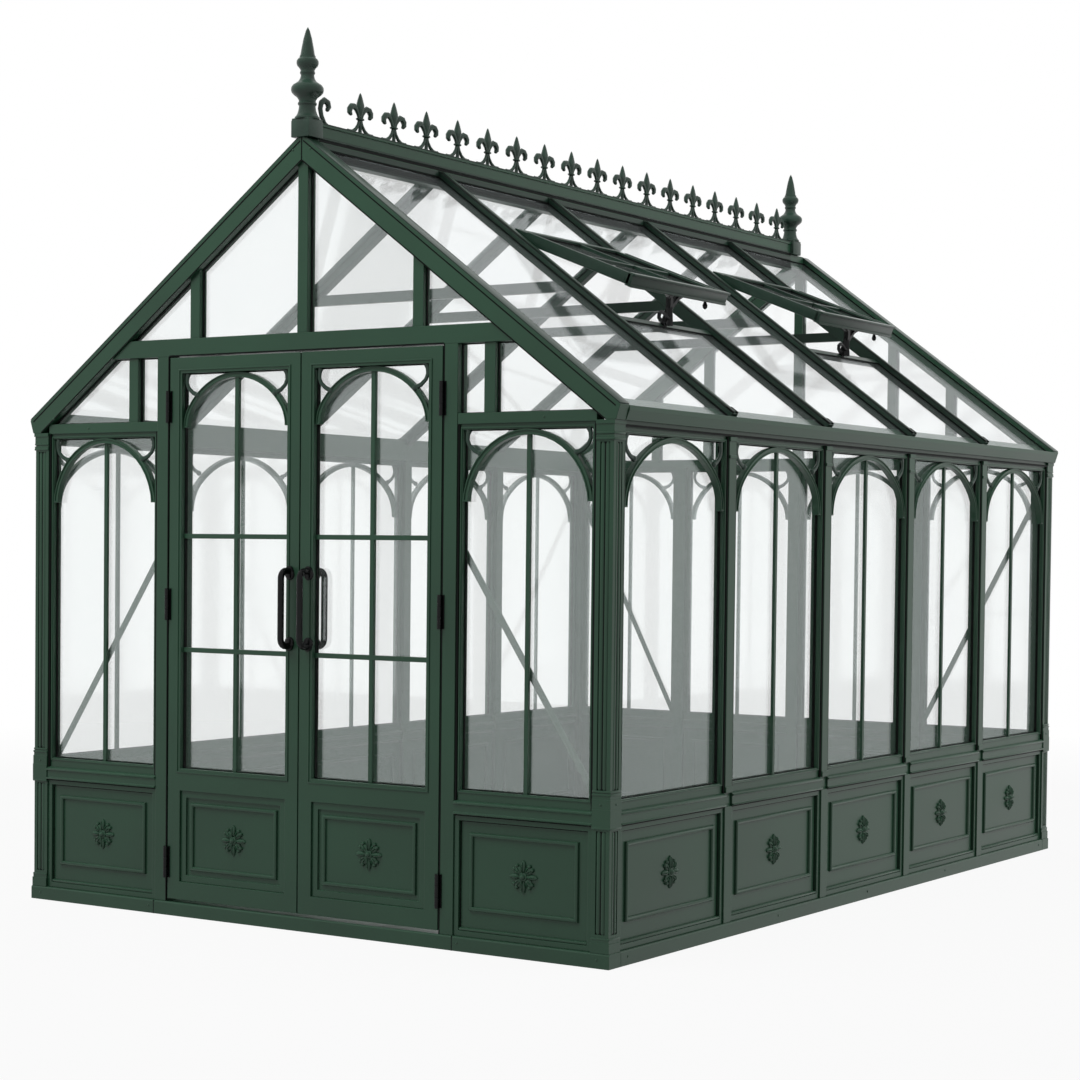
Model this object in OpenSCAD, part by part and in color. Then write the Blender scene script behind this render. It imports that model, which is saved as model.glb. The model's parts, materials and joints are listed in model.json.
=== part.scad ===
// Victorian glass greenhouse with a panelled base, arched windows and a pair of hinged doors.
// Millimetres, +Z up. The origin is on the ground at the middle of the floor plan.
// -Y is the front, where the doors are, and X runs across the building.

/* [Overall] */
// Width over the base plinth
body_w = 2700; // [2400:10:3300]
// Length over the base plinth
body_l = 4050; // [3400:10:5200]
// Number of window bays along each side
side_bays = 5; // [4:1:6]
// Height of the window heads along the sides
head_z = 1828; // [1600:1:2150]
// Slope of the roof in degrees
roof_pitch = 36.5; // [33:0.5:40]

/* [Base] */
// Height of the plinth board
plinth_h = 52; // [30:1:90]
// How far the plinth stands in front of the posts
plinth_out = 8; // [4:1:20]
// Thickness of the plinth board
plinth_t = 78; // [50:1:100]
// Height of the underside of the sill rail
sill_z = 480; // [380:1:600]
// Height of the sill rail
sill_h = 50; // [36:1:70]
// How far the sill rail stands in front of the posts
sill_out = 5; // [2:1:10]

/* [Wall frame] */
// Side of the square corner posts
corner_w = 70; // [60:1:90]
// Width of the posts between the side windows
post_w = 52; // [40:1:70]
// Depth of the posts between the windows
post_d = 60; // [50:1:70]
// Width of the door jambs and of the matching posts in the back wall
jamb_w = 60; // [45:1:80]
// Width of the frame bar round each window
frame_w = 20; // [14:1:30]
// How far the window frames and panels lie behind the face of the posts
frame_set = 10; // [6:1:16]
// Depth of the window frames
frame_d = 34; // [26:1:40]
// Thickness of the glass
glass_t = 4; // [3:0.5:6]
// Width of a glazing bar
bar_w = 16; // [10:1:24]
// Width of an arch bar seen from the front
arch_w = 20; // [14:1:26]
// Rise of the window arches above their feet
arch_rise = 250; // [180:5:280]

/* [Doors] */
// Clear width of the doorway
doorway_w = 1280; // [1100:10:1400]
// Height of the underside of the door header
door_head_z = 2128; // [2060:1:2160]
// Height of the door header
header_h = 66; // [50:1:80]
// Gap round a door leaf
door_gap = 5; // [5:0.5:8]
// Thickness of a door leaf
door_t = 40; // [34:1:46]
// Width of the door stiles and of the top rail
stile_w = 60; // [50:1:80]
// Height of the middle rail of a door
lock_rail_h = 84; // [60:1:100]
// Width of a door's glazing bars
door_bar_w = 18; // [12:1:24]
// Rise of the arch in a door above its feet
door_arch_rise = 205; // [160:5:220]
// Diameter of a pull handle's bar
handle_d = 24; // [16:1:28]
// Length of a pull handle
handle_l = 276; // [200:1:340]
// How far a pull handle's bar stands off the door
handle_out = 52; // [40:1:65]
// Radius of a hinge knuckle
knuckle_r = 8; // [6.5:0.5:9]
// Length of a hinge
hinge_l = 120; // [90:1:150]

/* [Roof] */
// Depth of the gable rake boards, square to the slope
rake_d = 75; // [60:1:95]
// Thickness of the gable rake boards
rake_t = 62; // [50:1:80]
// Width of a rafter
rafter_w = 42; // [30:1:60]
// Depth of a rafter
rafter_d = 48; // [40:1:60]
// How far the rafters stand above the roof glass
cap_h = 22; // [14:1:30]
// Thickness of the ridge board
ridge_t = 50; // [40:1:70]
// How far the eaves gutter stands out from the posts
gutter_out = 26; // [20:1:40]
// How far the rear finial stands in front of the rear gable
rear_finial_in = 130; // [80:5:220]
// Distance down the slope from the ridge line to a vent's hinge
vent_top_u = 450; // [400:5:520]
// Distance down the slope from the ridge line to a vent's sill bar
vent_foot_u = 1005; // [940:5:1060]
// Angle at which the roof vents stand open
vent_angle = 15; // [6:1:24]
// Number of cresting leaves along the ridge
crest_n = 18; // [10:1:24]
// Height of a cresting leaf
crest_h = 158; // [110:1:190]

/* [Hidden] */

eps = 0.01;
big = 9000;

// Colours
paint = "#3b5042";
paint_dark = "#2c3c32";
iron = "#17191a";
pane = [0.80, 0.88, 0.87, 0.35];

// Plan: the posts' outer faces lie half_w and half_l from the middle.
half_w = body_w / 2 - plinth_out;
half_l = body_l / 2 - plinth_out;
inner_w = half_w - corner_w;
inner_l = half_l - corner_w;
door_half = doorway_w / 2;
jamb_out = door_half + jamb_w;
sill_top = sill_z + sill_h;

// Bays of each wall as [centre, clear width] in the wall's own frame.
end_bay = [(jamb_out + inner_w) / 2, inner_w - jamb_out];
mid_bay = [(post_w / 2 + door_half) / 2, door_half - post_w / 2];
front_bays = [[-end_bay[0], end_bay[1]], end_bay];
back_bays = [[-end_bay[0], end_bay[1]], [-mid_bay[0], mid_bay[1]], mid_bay, end_bay];
side_w = (2 * inner_l - (side_bays - 1) * post_w) / side_bays;
side_pitch = side_w + post_w;
side_list = [for (i = [0 : side_bays - 1]) [(i - (side_bays - 1) / 2) * side_pitch, side_w]];

// Window layers, measured inwards from the post face.
frame_back = frame_set + frame_d;
glass_y = frame_back - 10;
bar_y = glass_y - 12;
arch_y = frame_set + 3;
window_foot = 16;
plain_bay = 0; // the right wall's bay nearest the doors has no glazing bar

// Roof: the top of the rakes and rafters is a plane through the ridge line.
eaves_x = half_w + gutter_out;
gutter_top = head_z + 72;
ridge_z = gutter_top + eaves_x * tan(roof_pitch);
glass_drop = (cap_h + glass_t) / cos(roof_pitch);
rake_drop = rake_d / cos(roof_pitch);
rafter_drop = rafter_d / cos(roof_pitch);
rake_foot = head_z + 22;
transom_z = head_z + 18;
transom_h = 38;
ridge_top = ridge_z + 50;
ridge_bottom = ridge_z - 80;
block_foot = ridge_z - 10;
slope_l = eaves_x / cos(roof_pitch);
function roof_z(x) = ridge_z - abs(x) * tan(roof_pitch);

// Vents sit in the second bay from each end of the right slope.
vent_bays = [1, side_bays - 2];
vent_bar = 30;
vent_rail = 34;
vent_t = 26;
vent_gap = 4;
curb_top = -cap_h + 6;
flap_seat = 1.5;
flap_sink = 3;
vent_glass_z = 8;

// Doors
leaf_w = door_half - door_gap * 1.5;
leaf_foot = plinth_h + 12;
leaf_top = door_head_z - door_gap;
panel_foot = leaf_foot + 68;
panel_top = sill_z;
door_glass_foot = panel_top + lock_rail_h;
door_glass_top = leaf_top - stile_w;
door_glass_y = door_t - 8;
hinge_x = door_half - door_gap / 2;
hinge_y = -(knuckle_r + 1.5);
hinge_z = [leaf_foot + 140, (leaf_foot + leaf_top) / 2 + 95, leaf_top - 185];
plate_t = 2.5;
plate_w = 8;
pin_r = 3;
pin_gap = 0.1;
handle_z = (leaf_foot + leaf_top) / 2 + 92;
handle_x = 44;
gable_bar_w = 46;
gable_bar_x = [520, 830];

// ---- shared shapes ----

// Draws children in each wall's own frame: X to the right from outside, Y inwards.
module on_wall(turn, depth) {
    rotate([0, 0, turn]) translate([0, -depth, 0]) children();
}
module on_front() on_wall(0, half_l) children();
module on_right() on_wall(90, half_w) children();
module on_back() on_wall(180, half_l) children();
module on_left() on_wall(270, half_w) children();
module on_sides() {
    on_right() children();
    on_left() children();
}

// A box from its two corners.
module span(low, high) {
    translate(low) cube(high - low);
}

// An outline in X and Z, given thickness from y0 to y1.
module upright(y0, y1) {
    translate([0, y1, 0]) rotate([90, 0, 0]) linear_extrude(y1 - y0) children();
}

// Points of one quarter of a three-centred arch of half span a and rise b.
function haunch_r(a, b) = min(a, b) * 0.72;
function crown_r(a, b) = (pow(a - haunch_r(a, b), 2) + b * b - pow(haunch_r(a, b), 2))
                         / (2 * (b - haunch_r(a, b)));
function crown_turn(a, b) = atan2(a - haunch_r(a, b), crown_r(a, b) - b);
function arch_quarter(a, b, n) = let (r = haunch_r(a, b), c = crown_r(a, b), t = crown_turn(a, b))
    concat([for (i = [0 : n]) let (q = (90 - t) * i / n) [a - r + r * cos(q), r * sin(q)]],
           [for (i = [1 : n]) let (q = t * (1 - i / n)) [c * sin(q), b - c + c * cos(q)]]);
function arch_line(a, b, n) = let (q = arch_quarter(a, b, n), m = len(q))
    concat(q, [for (i = [1 : m - 1]) [-q[m - 1 - i][0], q[m - 1 - i][1]]]);

// An arch bar whose crown touches z = top, with feet against x = +-a.
module arch_bar(a, b, top, w, y0, y1) {
    outer = arch_line(a, b, 9);
    inner = arch_line(a - w, b - w, 9);
    m = len(inner);
    points = concat(outer, [for (i = [0 : m - 1]) inner[m - 1 - i]]);
    upright(y0, y1) translate([0, top - b]) polygon(points);
}

// A framed panel with a sunk field and a raised moulding, w wide and from z0 to z1.
module framed_panel(w, z0, z1, border, y0, y1, sink, ring_in, ring_lift = 0) {
    ring_w = 12;
    difference() {
        span([-w / 2, y0, z0], [w / 2, y1, z1]);
        span([-w / 2 + border, y0 - 1, z0 + border], [w / 2 - border, y0 + sink, z1 - border]);
    }
    difference() {
        span([-w / 2 + ring_in, y0 + sink - 6, z0 + ring_in + ring_lift],
             [w / 2 - ring_in, y0 + sink + 1, z1 - ring_in]);
        span([-w / 2 + ring_in + ring_w, y0 + sink - 7, z0 + ring_in + ring_lift + ring_w],
             [w / 2 - ring_in - ring_w, y0 + sink + 2, z1 - ring_in - ring_w]);
    }
}

// ---- base ----
plinth_bevel = 5;
module plinth_run(length, from) {
    plinth_profile = [[0, 0], [plinth_t, 0], [plinth_t, plinth_h], [plinth_bevel, plinth_h],
                      [0, plinth_h - plinth_bevel]];
    translate([from, -plinth_out, 0]) rotate([90, 0, 90]) linear_extrude(length) polygon(plinth_profile);
}
module end_plinths() {
    color(paint) {
        on_front() plinth_run(body_w, -body_w / 2);
        on_back() plinth_run(body_w, -body_w / 2);
    }
}
module side_plinths() {
    run = body_l - 2 * plinth_t;
    color(paint) on_sides() plinth_run(run, -run / 2);
}

// Base or capital blocks that wrap a post: [bottom, top, how far they stand out].
corner_rings = [[plinth_h, plinth_h + 34, 5], [plinth_h + 34, plinth_h + 48, 2.5],
                [sill_z - 4, sill_top + 8, 5], [sill_top + 8, sill_top + 42, 4],
                [sill_top + 42, sill_top + 56, 2],
                [rake_foot - 60, rake_foot - 52, 3], [rake_foot - 40, rake_foot - 14, 2],
                [rake_foot - 14, rake_foot, 5]];
flute_w = 38;
flute_in = 4;
flute_runs = [[plinth_h + 62, sill_z - 16], [sill_top + 72, rake_foot - 74]];
module corner_post() {
    difference() {
        union() {
            span([0, 0, plinth_h], [corner_w, corner_w, rake_foot]);
            for (ring = corner_rings)
                span([-ring[2], -ring[2], ring[0]], [corner_w, corner_w, ring[1]]);
        }
        for (run = flute_runs) {
            span([(corner_w - flute_w) / 2, -1, run[0]], [(corner_w + flute_w) / 2, flute_in, run[1]]);
            span([-1, (corner_w - flute_w) / 2, run[0]], [flute_in, (corner_w + flute_w) / 2, run[1]]);
        }
    }
}
module corner_posts() {
    color(paint) for (sx = [0, 1], sy = [0, 1])
        mirror([sx, 0, 0]) mirror([0, sy, 0]) translate([-half_w, -half_l, 0]) corner_post();
}

// Posts between windows run from the plinth to the window heads, with a small base and capital.
post_ring_out = 4;
module wall_post(w, top) {
    span([-w / 2, 0, plinth_h], [w / 2, post_d, sill_z]);
    span([-w / 2, 0, sill_top], [w / 2, post_d, top]);
    span([-w / 2, 6, sill_z], [w / 2, post_d, sill_top]);
    for (ring = [[sill_top, sill_top + 22], [top - 78, top - 66], [top - 16, top]])
        span([-w / 2, -post_ring_out, ring[0]], [w / 2, 0, ring[1]]);
}
module side_wall_posts() {
    color(paint) on_sides() for (i = [1 : side_bays - 1])
        translate([(i - side_bays / 2) * side_pitch, 0, 0]) wall_post(post_w, head_z);
}
module back_wall_posts() {
    color(paint) on_back() {
        wall_post(post_w, transom_z);
        for (s = [-1, 1]) translate([s * (door_half + jamb_w / 2), 0, 0]) wall_post(jamb_w, transom_z);
    }
}
module door_jambs() {
    color(paint) on_front() for (s = [-1, 1])
        translate([s * (door_half + jamb_w / 2) - jamb_w / 2, 0, plinth_h])
            cube([jamb_w, post_d, door_head_z - plinth_h]);
}

// ---- sill rails and panels ----
sill_profile = [[6, sill_z], [post_d - 10, sill_z], [post_d - 10, sill_top], [frame_set - 4, sill_top],
                [-sill_out + 3, sill_top - 4], [-sill_out, sill_top - 8], [-sill_out, sill_top - 12],
                [-1, sill_top - 16], [-1, sill_z + 10], [-sill_out + 1, sill_z + 8],
                [-sill_out + 1, sill_z + 3], [0, sill_z]];
module sill_run(length) {
    translate([-length / 2, 0, 0]) rotate([90, 0, 90]) linear_extrude(length) polygon(sill_profile);
}
module bay_sill(bay) translate([bay[0], 0, 0]) sill_run(bay[1]);
module front_sill_rails() {
    color(paint) on_front() for (bay = front_bays) bay_sill(bay);
}
module side_sill_rails() {
    color(paint) on_sides() for (bay = side_list) bay_sill(bay);
}
module back_sill_rails() {
    color(paint) on_back() for (bay = back_bays) bay_sill(bay);
}

panel_border = 20;
panel_sink = 12;
panel_ring_in = 62;
panel_ring_lift = 31; // the moulding's foot stands this much higher, over the base rail
module bay_panel(bay) {
    translate([bay[0], 0, 0])
        framed_panel(bay[1], plinth_h, sill_z, panel_border, frame_set - 4, frame_back, panel_sink,
                     panel_ring_in, panel_ring_lift);
}
module front_wall_panels() {
    color(paint) on_front() for (bay = front_bays) bay_panel(bay);
}
module side_wall_panels() {
    color(paint) on_sides() for (bay = side_list) bay_panel(bay);
}
module back_wall_panels() {
    color(paint) on_back() for (bay = back_bays) bay_panel(bay);
}

// ---- windows ----
module window_frame(bay, top, barred = true) {
    w = bay[1];
    translate([bay[0], 0, 0]) {
        difference() {
            span([-w / 2, frame_set, sill_top], [w / 2, frame_back, top]);
            span([-w / 2 + frame_w, 0, sill_top + frame_w + window_foot],
                 [w / 2 - frame_w, big, top - frame_w]);
        }
        if (barred)
            span([-bar_w / 2, bar_y, sill_top + frame_w],
                 [bar_w / 2, glass_y, top - frame_w - arch_w - 0.5]);
    }
}
module window_frames() {
    color(paint) {
        on_front() for (bay = front_bays) window_frame(bay, transom_z);
        on_back() for (bay = back_bays) window_frame(bay, transom_z);
        on_left() for (bay = side_list) window_frame(bay, head_z);
        on_right() for (i = [0 : side_bays - 1]) window_frame(side_list[i], head_z, i != plain_bay);
    }
}
module window_arch(bay, top) {
    a = bay[1] / 2 - frame_w;
    translate([bay[0], 0, 0]) arch_bar(a, min(arch_rise, a * 0.98), top - frame_w, arch_w, arch_y, glass_y);
}
module window_arches() {
    color(paint) {
        on_front() for (bay = front_bays) window_arch(bay, transom_z);
        on_back() for (bay = back_bays) window_arch(bay, transom_z);
        on_sides() for (bay = side_list) window_arch(bay, head_z);
    }
}
module window_pane(bay, top) {
    w = bay[1] - 2 * frame_w;
    translate([bay[0], 0, 0])
        span([-w / 2, glass_y, sill_top + frame_w + window_foot], [w / 2, glass_y + glass_t, top - frame_w]);
}
module wall_glass() {
    color(pane) {
        on_front() for (bay = front_bays) window_pane(bay, transom_z);
        on_back() for (bay = back_bays) window_pane(bay, transom_z);
        on_sides() for (bay = side_list) window_pane(bay, head_z);
    }
}

// ---- eaves and gables ----
glass_bed = 0.2;
function glass_under(x) = roof_z(x) - glass_drop - glass_bed;
eaves_in = half_w - post_d;
eaves_profile = [[eaves_in, head_z], [half_w - 4, head_z], [half_w - 4, rake_foot],
                 [half_w + 12, rake_foot], [eaves_x, gutter_top - 16], [eaves_x, gutter_top],
                 [eaves_x - 7, gutter_top], [eaves_x - 7, gutter_top - 12],
                 [half_w + 10, rake_foot + 12], [half_w + 5, rake_foot + 12],
                 [half_w + 5, glass_under(half_w + 5)], [eaves_in, glass_under(eaves_in)]];
eaves_l = 2 * (half_l - rake_t + 6);
module eaves() {
    difference() {
        upright(-eaves_l / 2, eaves_l / 2) polygon(eaves_profile);
        for (s = [-1, 1])
            span([eaves_in - 1, s * half_l - corner_w, head_z - 1],
                 [half_w + eps, s * half_l + corner_w, rake_foot]);
    }
}
module eaves_gutters() {
    color(paint) {
        eaves();
        mirror([1, 0, 0]) eaves();
    }
}

// One sloping rake board, from the middle to the eaves.
rake_front = -6;
rake_half_gap = 0.3;
rake_outline = [[rake_half_gap, block_foot], [(ridge_z - block_foot) / tan(roof_pitch), block_foot],
                [eaves_x, gutter_top], [half_w + 10, rake_foot],
                [(ridge_z - rake_drop - rake_foot) / tan(roof_pitch), rake_foot],
                [rake_half_gap, ridge_z - rake_drop]];
module rake_pair() {
    for (m = [0, 1]) mirror([m, 0, 0]) upright(rake_front, rake_front + rake_t) polygon(rake_outline);
}
module gable_rakes() {
    color(paint) {
        on_front() rake_pair();
        on_back() rake_pair();
    }
}
// Everything under the rakes and above z0, as an outline.
module gable_area(z0) {
    half = (ridge_z - rake_drop - z0) / tan(roof_pitch);
    polygon([[-half, z0], [half, z0], [0, ridge_z - rake_drop]]);
}
transom_y = [2, 50];
module gable_transoms() {
    color(paint) {
        on_front() for (s = [0, 1]) mirror([s, 0, 0])
            upright(transom_y[0], transom_y[1]) intersection() {
                gable_area(transom_z);
                translate([jamb_out, transom_z]) square([inner_w - jamb_out, transom_h]);
            }
        on_back() upright(transom_y[0], transom_y[1]) intersection() {
            gable_area(transom_z);
            translate([-inner_w, transom_z]) square([2 * inner_w, transom_h]);
        }
    }
}
module door_header() {
    color(paint) on_front() upright(0, transom_y[1]) intersection() {
        gable_area(door_head_z);
        translate([-big / 2, door_head_z]) square([big, header_h]);
    }
}
// Gable bars: a king post and a pair of uprights either side.
module gable_bars(z0, xs) {
    for (x = xs) translate([x - gable_bar_w / 2, z0]) square([gable_bar_w, big]);
}
module king_post(z0) upright(4, transom_y[1]) intersection() {
    gable_area(z0);
    gable_bars(z0, [0]);
}
module gable_uprights(z0, z1, xs) upright(8, 48) intersection() {
    gable_area(z0);
    gable_bars(z0, [for (x = xs, s = [-1, 1]) s * x]);
    translate([-big / 2, z0]) square([big, z1 - z0]);
}
transom_top = transom_z + transom_h;
header_top = door_head_z + header_h;
module gable_posts() {
    color(paint) {
        on_front() {
            king_post(header_top);
            gable_uprights(header_top, big, [gable_bar_x[0]]);
            gable_uprights(transom_top, door_head_z, [gable_bar_x[1]]);
        }
        on_back() {
            king_post(transom_top);
            gable_uprights(transom_top, big, gable_bar_x);
        }
    }
}
module gable_pane(z0, z1, x0, x1, bars) {
    upright(glass_y, glass_y + glass_t) difference() {
        intersection() {
            gable_area(z0);
            translate([x0, z0]) square([x1 - x0, z1 - z0]);
        }
        gable_bars(z0, bars);
    }
}
module gable_glass() {
    all_bars = [-gable_bar_x[1], -gable_bar_x[0], 0, gable_bar_x[0], gable_bar_x[1]];
    color(pane) {
        on_front() {
            gable_pane(header_top, big, -big, big, [-gable_bar_x[0], 0, gable_bar_x[0]]);
            for (s = [0, 1]) mirror([s, 0, 0])
                gable_pane(transom_top, door_head_z, jamb_out, big, [gable_bar_x[1]]);
        }
        on_back() gable_pane(transom_top, big, -big, big, all_bars);
    }
}

// ---- roof ----
roof_in_l = half_l - rake_t + 6;
module on_slope() {
    translate([0, 0, ridge_z]) rotate([0, roof_pitch, 0]) children();
}
block_w = 84;
finial_y = half_l - rake_t / 2 + 6;
board_y = [-finial_y + block_w / 2, finial_y - rear_finial_in - block_w / 2];
ridge_lip = 6;
module ridge_beam() {
    color(paint) {
        span([-ridge_t / 2, -roof_in_l, ridge_bottom], [ridge_t / 2, roof_in_l, block_foot]);
        span([-ridge_t / 2, board_y[0], block_foot], [ridge_t / 2, board_y[1], ridge_top]);
        span([-ridge_t / 2 - ridge_lip, board_y[0], ridge_top - 2 * ridge_lip],
             [ridge_t / 2 + ridge_lip, board_y[1], ridge_top]);
    }
}
module rafter(y) {
    difference() {
        on_slope() span([0, y - rafter_w / 2, -rafter_d], [slope_l - 22, y + rafter_w / 2, 0]);
        span([-big, -big, 0], [ridge_t / 2, big, big]);
        eaves();
        translate([0, 0, -eps]) upright(-big, big)
            polygon([[eaves_in, 0], [half_w + 5, 0], [half_w + 5, glass_under(half_w + 5)],
                     [eaves_in, glass_under(eaves_in)]]);
    }
}
module rafters() {
    color(paint) for (m = [0, 1], i = [1 : side_bays - 1])
        mirror([m, 0, 0]) rafter((i - side_bays / 2) * side_pitch);
}
// Roof panes of one bay, from u0 to u1 down the slope.
function bay_y(i) = let (c = (i - side_bays / 2) * side_pitch)
    [i == 0 ? -roof_in_l : c + rafter_w / 2,
     i == side_bays - 1 ? roof_in_l : c + side_pitch - rafter_w / 2];
pane_start = (ridge_t / 2 + 1) / cos(roof_pitch) + 20;
module roof_pane(i, u0, u1) {
    on_slope() span([u0, bay_y(i)[0], -cap_h - glass_t], [u1, bay_y(i)[1], -cap_h]);
}
pane_end = (half_w + 12) / cos(roof_pitch);
module left_roof_glass() {
    color(pane) mirror([1, 0, 0]) for (i = [0 : side_bays - 1])
        roof_pane(i, pane_start, pane_end);
}
function is_vent(i) = i == vent_bays[0] || i == vent_bays[1];
module right_roof_glass() {
    color(pane) for (i = [0 : side_bays - 1])
        if (is_vent(i)) {
            roof_pane(i, pane_start, vent_top_u - vent_bar);
            roof_pane(i, vent_foot_u + vent_bar, pane_end);
        } else {
            roof_pane(i, pane_start, pane_end);
        }
}
// A collar tie under each pair of rafters.
tie_z = ridge_z - 520;
tie_h = 42;
tie_t = 26;
module roof_ties() {
    top = (ridge_z - rafter_drop - tie_z - tie_h) / tan(roof_pitch);
    foot = (ridge_z - rafter_drop - tie_z) / tan(roof_pitch);
    color(paint) for (i = [1 : side_bays - 1])
        translate([0, (i - side_bays / 2) * side_pitch, 0]) upright(-tie_t / 2, tie_t / 2)
            polygon([[-foot, tie_z], [foot, tie_z], [top, tie_z + tie_h], [-top, tie_z + tie_h]]);
}

// ---- roof vents ----
vent_l = vent_foot_u - vent_top_u + vent_bar / 2;
// The flap's own frame: origin on its hinge line, X down the flap, Z up from it.
module on_flap(i) {
    on_slope() translate([vent_top_u + flap_seat, 0, curb_top - flap_sink]) rotate([0, -vent_angle, 0])
        translate([0, bay_y(i)[0] + vent_gap, 0]) children();
}
function flap_w(i) = bay_y(i)[1] - bay_y(i)[0] - 2 * vent_gap;
module vent_flap_frame(i) {
    on_flap(i) difference() {
        span([0, 0, 0], [vent_l, flap_w(i), vent_t]);
        span([vent_rail, vent_rail, -1], [vent_l - vent_rail, flap_w(i) - vent_rail, vent_t + 1]);
    }
}
module vent_curb(i) {
    on_slope() {
        span([vent_top_u - vent_bar, bay_y(i)[0], -rafter_d + 4], [vent_top_u, bay_y(i)[1], curb_top]);
        span([vent_foot_u, bay_y(i)[0], -rafter_d + 4], [vent_foot_u + vent_bar, bay_y(i)[1], curb_top]);
    }
}
module vent_frames() {
    color(paint_dark) for (i = vent_bays) {
        vent_flap_frame(i);
        vent_curb(i);
    }
}
module vent_glass() {
    color(pane) for (i = vent_bays) on_flap(i)
        span([vent_rail, vent_rail, vent_glass_z],
             [vent_l - vent_rail, flap_w(i) - vent_rail, vent_glass_z + glass_t]);
}
// A forked cast arm rises from each vent's sill bar to the lower rail of the flap.
arm_t = 22;
arm_reach = 200;
arm_half = [[12, -arm_reach], [9, -80], [34, -36], [66, -20], [66, 0], [46, 0], [20, -26]];
arm_outline = concat(arm_half, [[0, -52]],
                     [for (i = [len(arm_half) - 1 : -1 : 0]) [-arm_half[i][0], arm_half[i][1]]]);
module vent_opener(i) {
    difference() {
        on_flap(i) translate([vent_l - vent_rail / 2 - arm_t / 2, flap_w(i) / 2, 0])
            rotate([90, 0, 90]) linear_extrude(arm_t) polygon(arm_outline);
        on_slope() span([0, -big, -big], [big, big, curb_top]);
    }
}
module vent_openers() {
    color(iron) for (i = vent_bays) vent_opener(i);
}

// ---- ridge cresting and finials ----
crest_t = 14;
module crest_leaf() {
    w = crest_h * 0.62;
    upright(-crest_t / 2, crest_t / 2) polygon([
        [-0.34 * w, 0], [-0.1 * w, 0.28 * crest_h], [-0.2 * w, 0.42 * crest_h], [-0.5 * w, 0.42 * crest_h],
        [-0.5 * w, 0.56 * crest_h], [-0.28 * w, 0.62 * crest_h], [-0.14 * w, 0.58 * crest_h],
        [-0.17 * w, 0.72 * crest_h], [0, crest_h], [0.17 * w, 0.72 * crest_h], [0.14 * w, 0.58 * crest_h],
        [0.28 * w, 0.62 * crest_h], [0.5 * w, 0.56 * crest_h], [0.5 * w, 0.42 * crest_h],
        [0.2 * w, 0.42 * crest_h], [0.1 * w, 0.28 * crest_h], [0.34 * w, 0]]);
}
crest_pitch = (board_y[1] - board_y[0]) / crest_n;
module ridge_crest() {
    color(paint_dark) for (i = [0 : crest_n - 1])
        translate([0, board_y[0] + (i + 0.5) * crest_pitch, ridge_top]) rotate([0, 0, 90]) crest_leaf();
}
// Turned outline of a finial above its block, as [radius, height].
finial_line = [[0, 0], [46, 0], [46, 10], [40, 14], [33, 28], [31, 62], [36, 66], [34, 74], [40, 86],
               [58, 102], [60, 118], [52, 132], [34, 142], [27, 152], [27, 172], [30, 178], [28, 184],
               [41, 200], [40, 214], [30, 222], [0, 336]];
module finial() {
    span([-block_w / 2, -block_w / 2, block_foot], [block_w / 2, block_w / 2, ridge_top + 8]);
    translate([0, 0, ridge_top + 8]) rotate_extrude($fn = 48) polygon(finial_line);
}
module finials() {
    color(paint) for (y = [-finial_y, finial_y - rear_finial_in]) translate([0, y, 0]) finial();
}

// ---- wind braces in the end bays ----
brace_w = 24;
brace_t = 6;
module brace(x0, z0, x1, z1) {
    run = x1 - x0;
    drop = z1 - z0;
    angle = atan2(drop, run);
    upright(frame_back, frame_back + brace_t) intersection() {
        translate([x0, z0]) rotate(angle) translate([-brace_w * 2, -brace_w / 2])
            square([norm([run, drop]) + brace_w * 4, brace_w]);
        translate([x0, sill_top]) square([run, head_z - sill_top]);
    }
}
module wind_braces() {
    color(paint) {
        on_front() for (m = [0, 1]) mirror([m, 0, 0])
            brace(jamb_out, sill_top + 880, inner_w, sill_top + brace_w);
        on_back() for (m = [0, 1]) mirror([m, 0, 0])
            brace(jamb_out, sill_top + brace_w, inner_w, sill_top + 1130);
    }
}

// ---- hinges: axis at the gap beside the leaf, in front of the face ----
knuckle_l = hinge_l / 3;
knuckle_gap = 0.6;
module knuckle(z0, z1, bored) {
    difference() {
        translate([0, 0, z0]) cylinder(h = z1 - z0, r = knuckle_r, $fn = 32);
        if (bored) translate([0, 0, z0 - 1]) cylinder(h = z1 - z0 + 2, r = pin_r + pin_gap, $fn = 32);
    }
}
// The plate and web that carry a knuckle, on the side that dir points to.
module hinge_plate(dir, z0, z1) {
    mirror([dir < 0 ? 1 : 0, 0, 0]) {
        translate([knuckle_r - 1, -hinge_y - plate_t, -hinge_l / 2]) cube([plate_w, plate_t, hinge_l]);
        translate([3.5, -hinge_y - plate_t, z0]) cube([knuckle_r, plate_t, z1 - z0]);
    }
}
module jamb_leaf(dir) {
    for (s = [-1, 1]) {
        z0 = s < 0 ? -hinge_l / 2 : knuckle_l / 2 + knuckle_gap;
        knuckle(z0, z0 + knuckle_l - knuckle_gap, false);
        hinge_plate(dir, z0, z0 + knuckle_l - knuckle_gap);
    }
    translate([0, 0, -hinge_l / 2]) cylinder(h = hinge_l, r = pin_r, $fn = 32);
}
module door_leaf_hinge(dir) {
    knuckle(-knuckle_l / 2, knuckle_l / 2, true);
    difference() {
        hinge_plate(dir, -knuckle_l / 2, knuckle_l / 2);
        translate([0, 0, -hinge_l]) cylinder(h = 2 * hinge_l, r = pin_r + pin_gap, $fn = 32);
    }
}
module jamb_hinge_leaves() {
    color(iron) on_front() for (s = [-1, 1], z = hinge_z)
        translate([s * hinge_x, hinge_y, z]) jamb_leaf(s);
}

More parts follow.
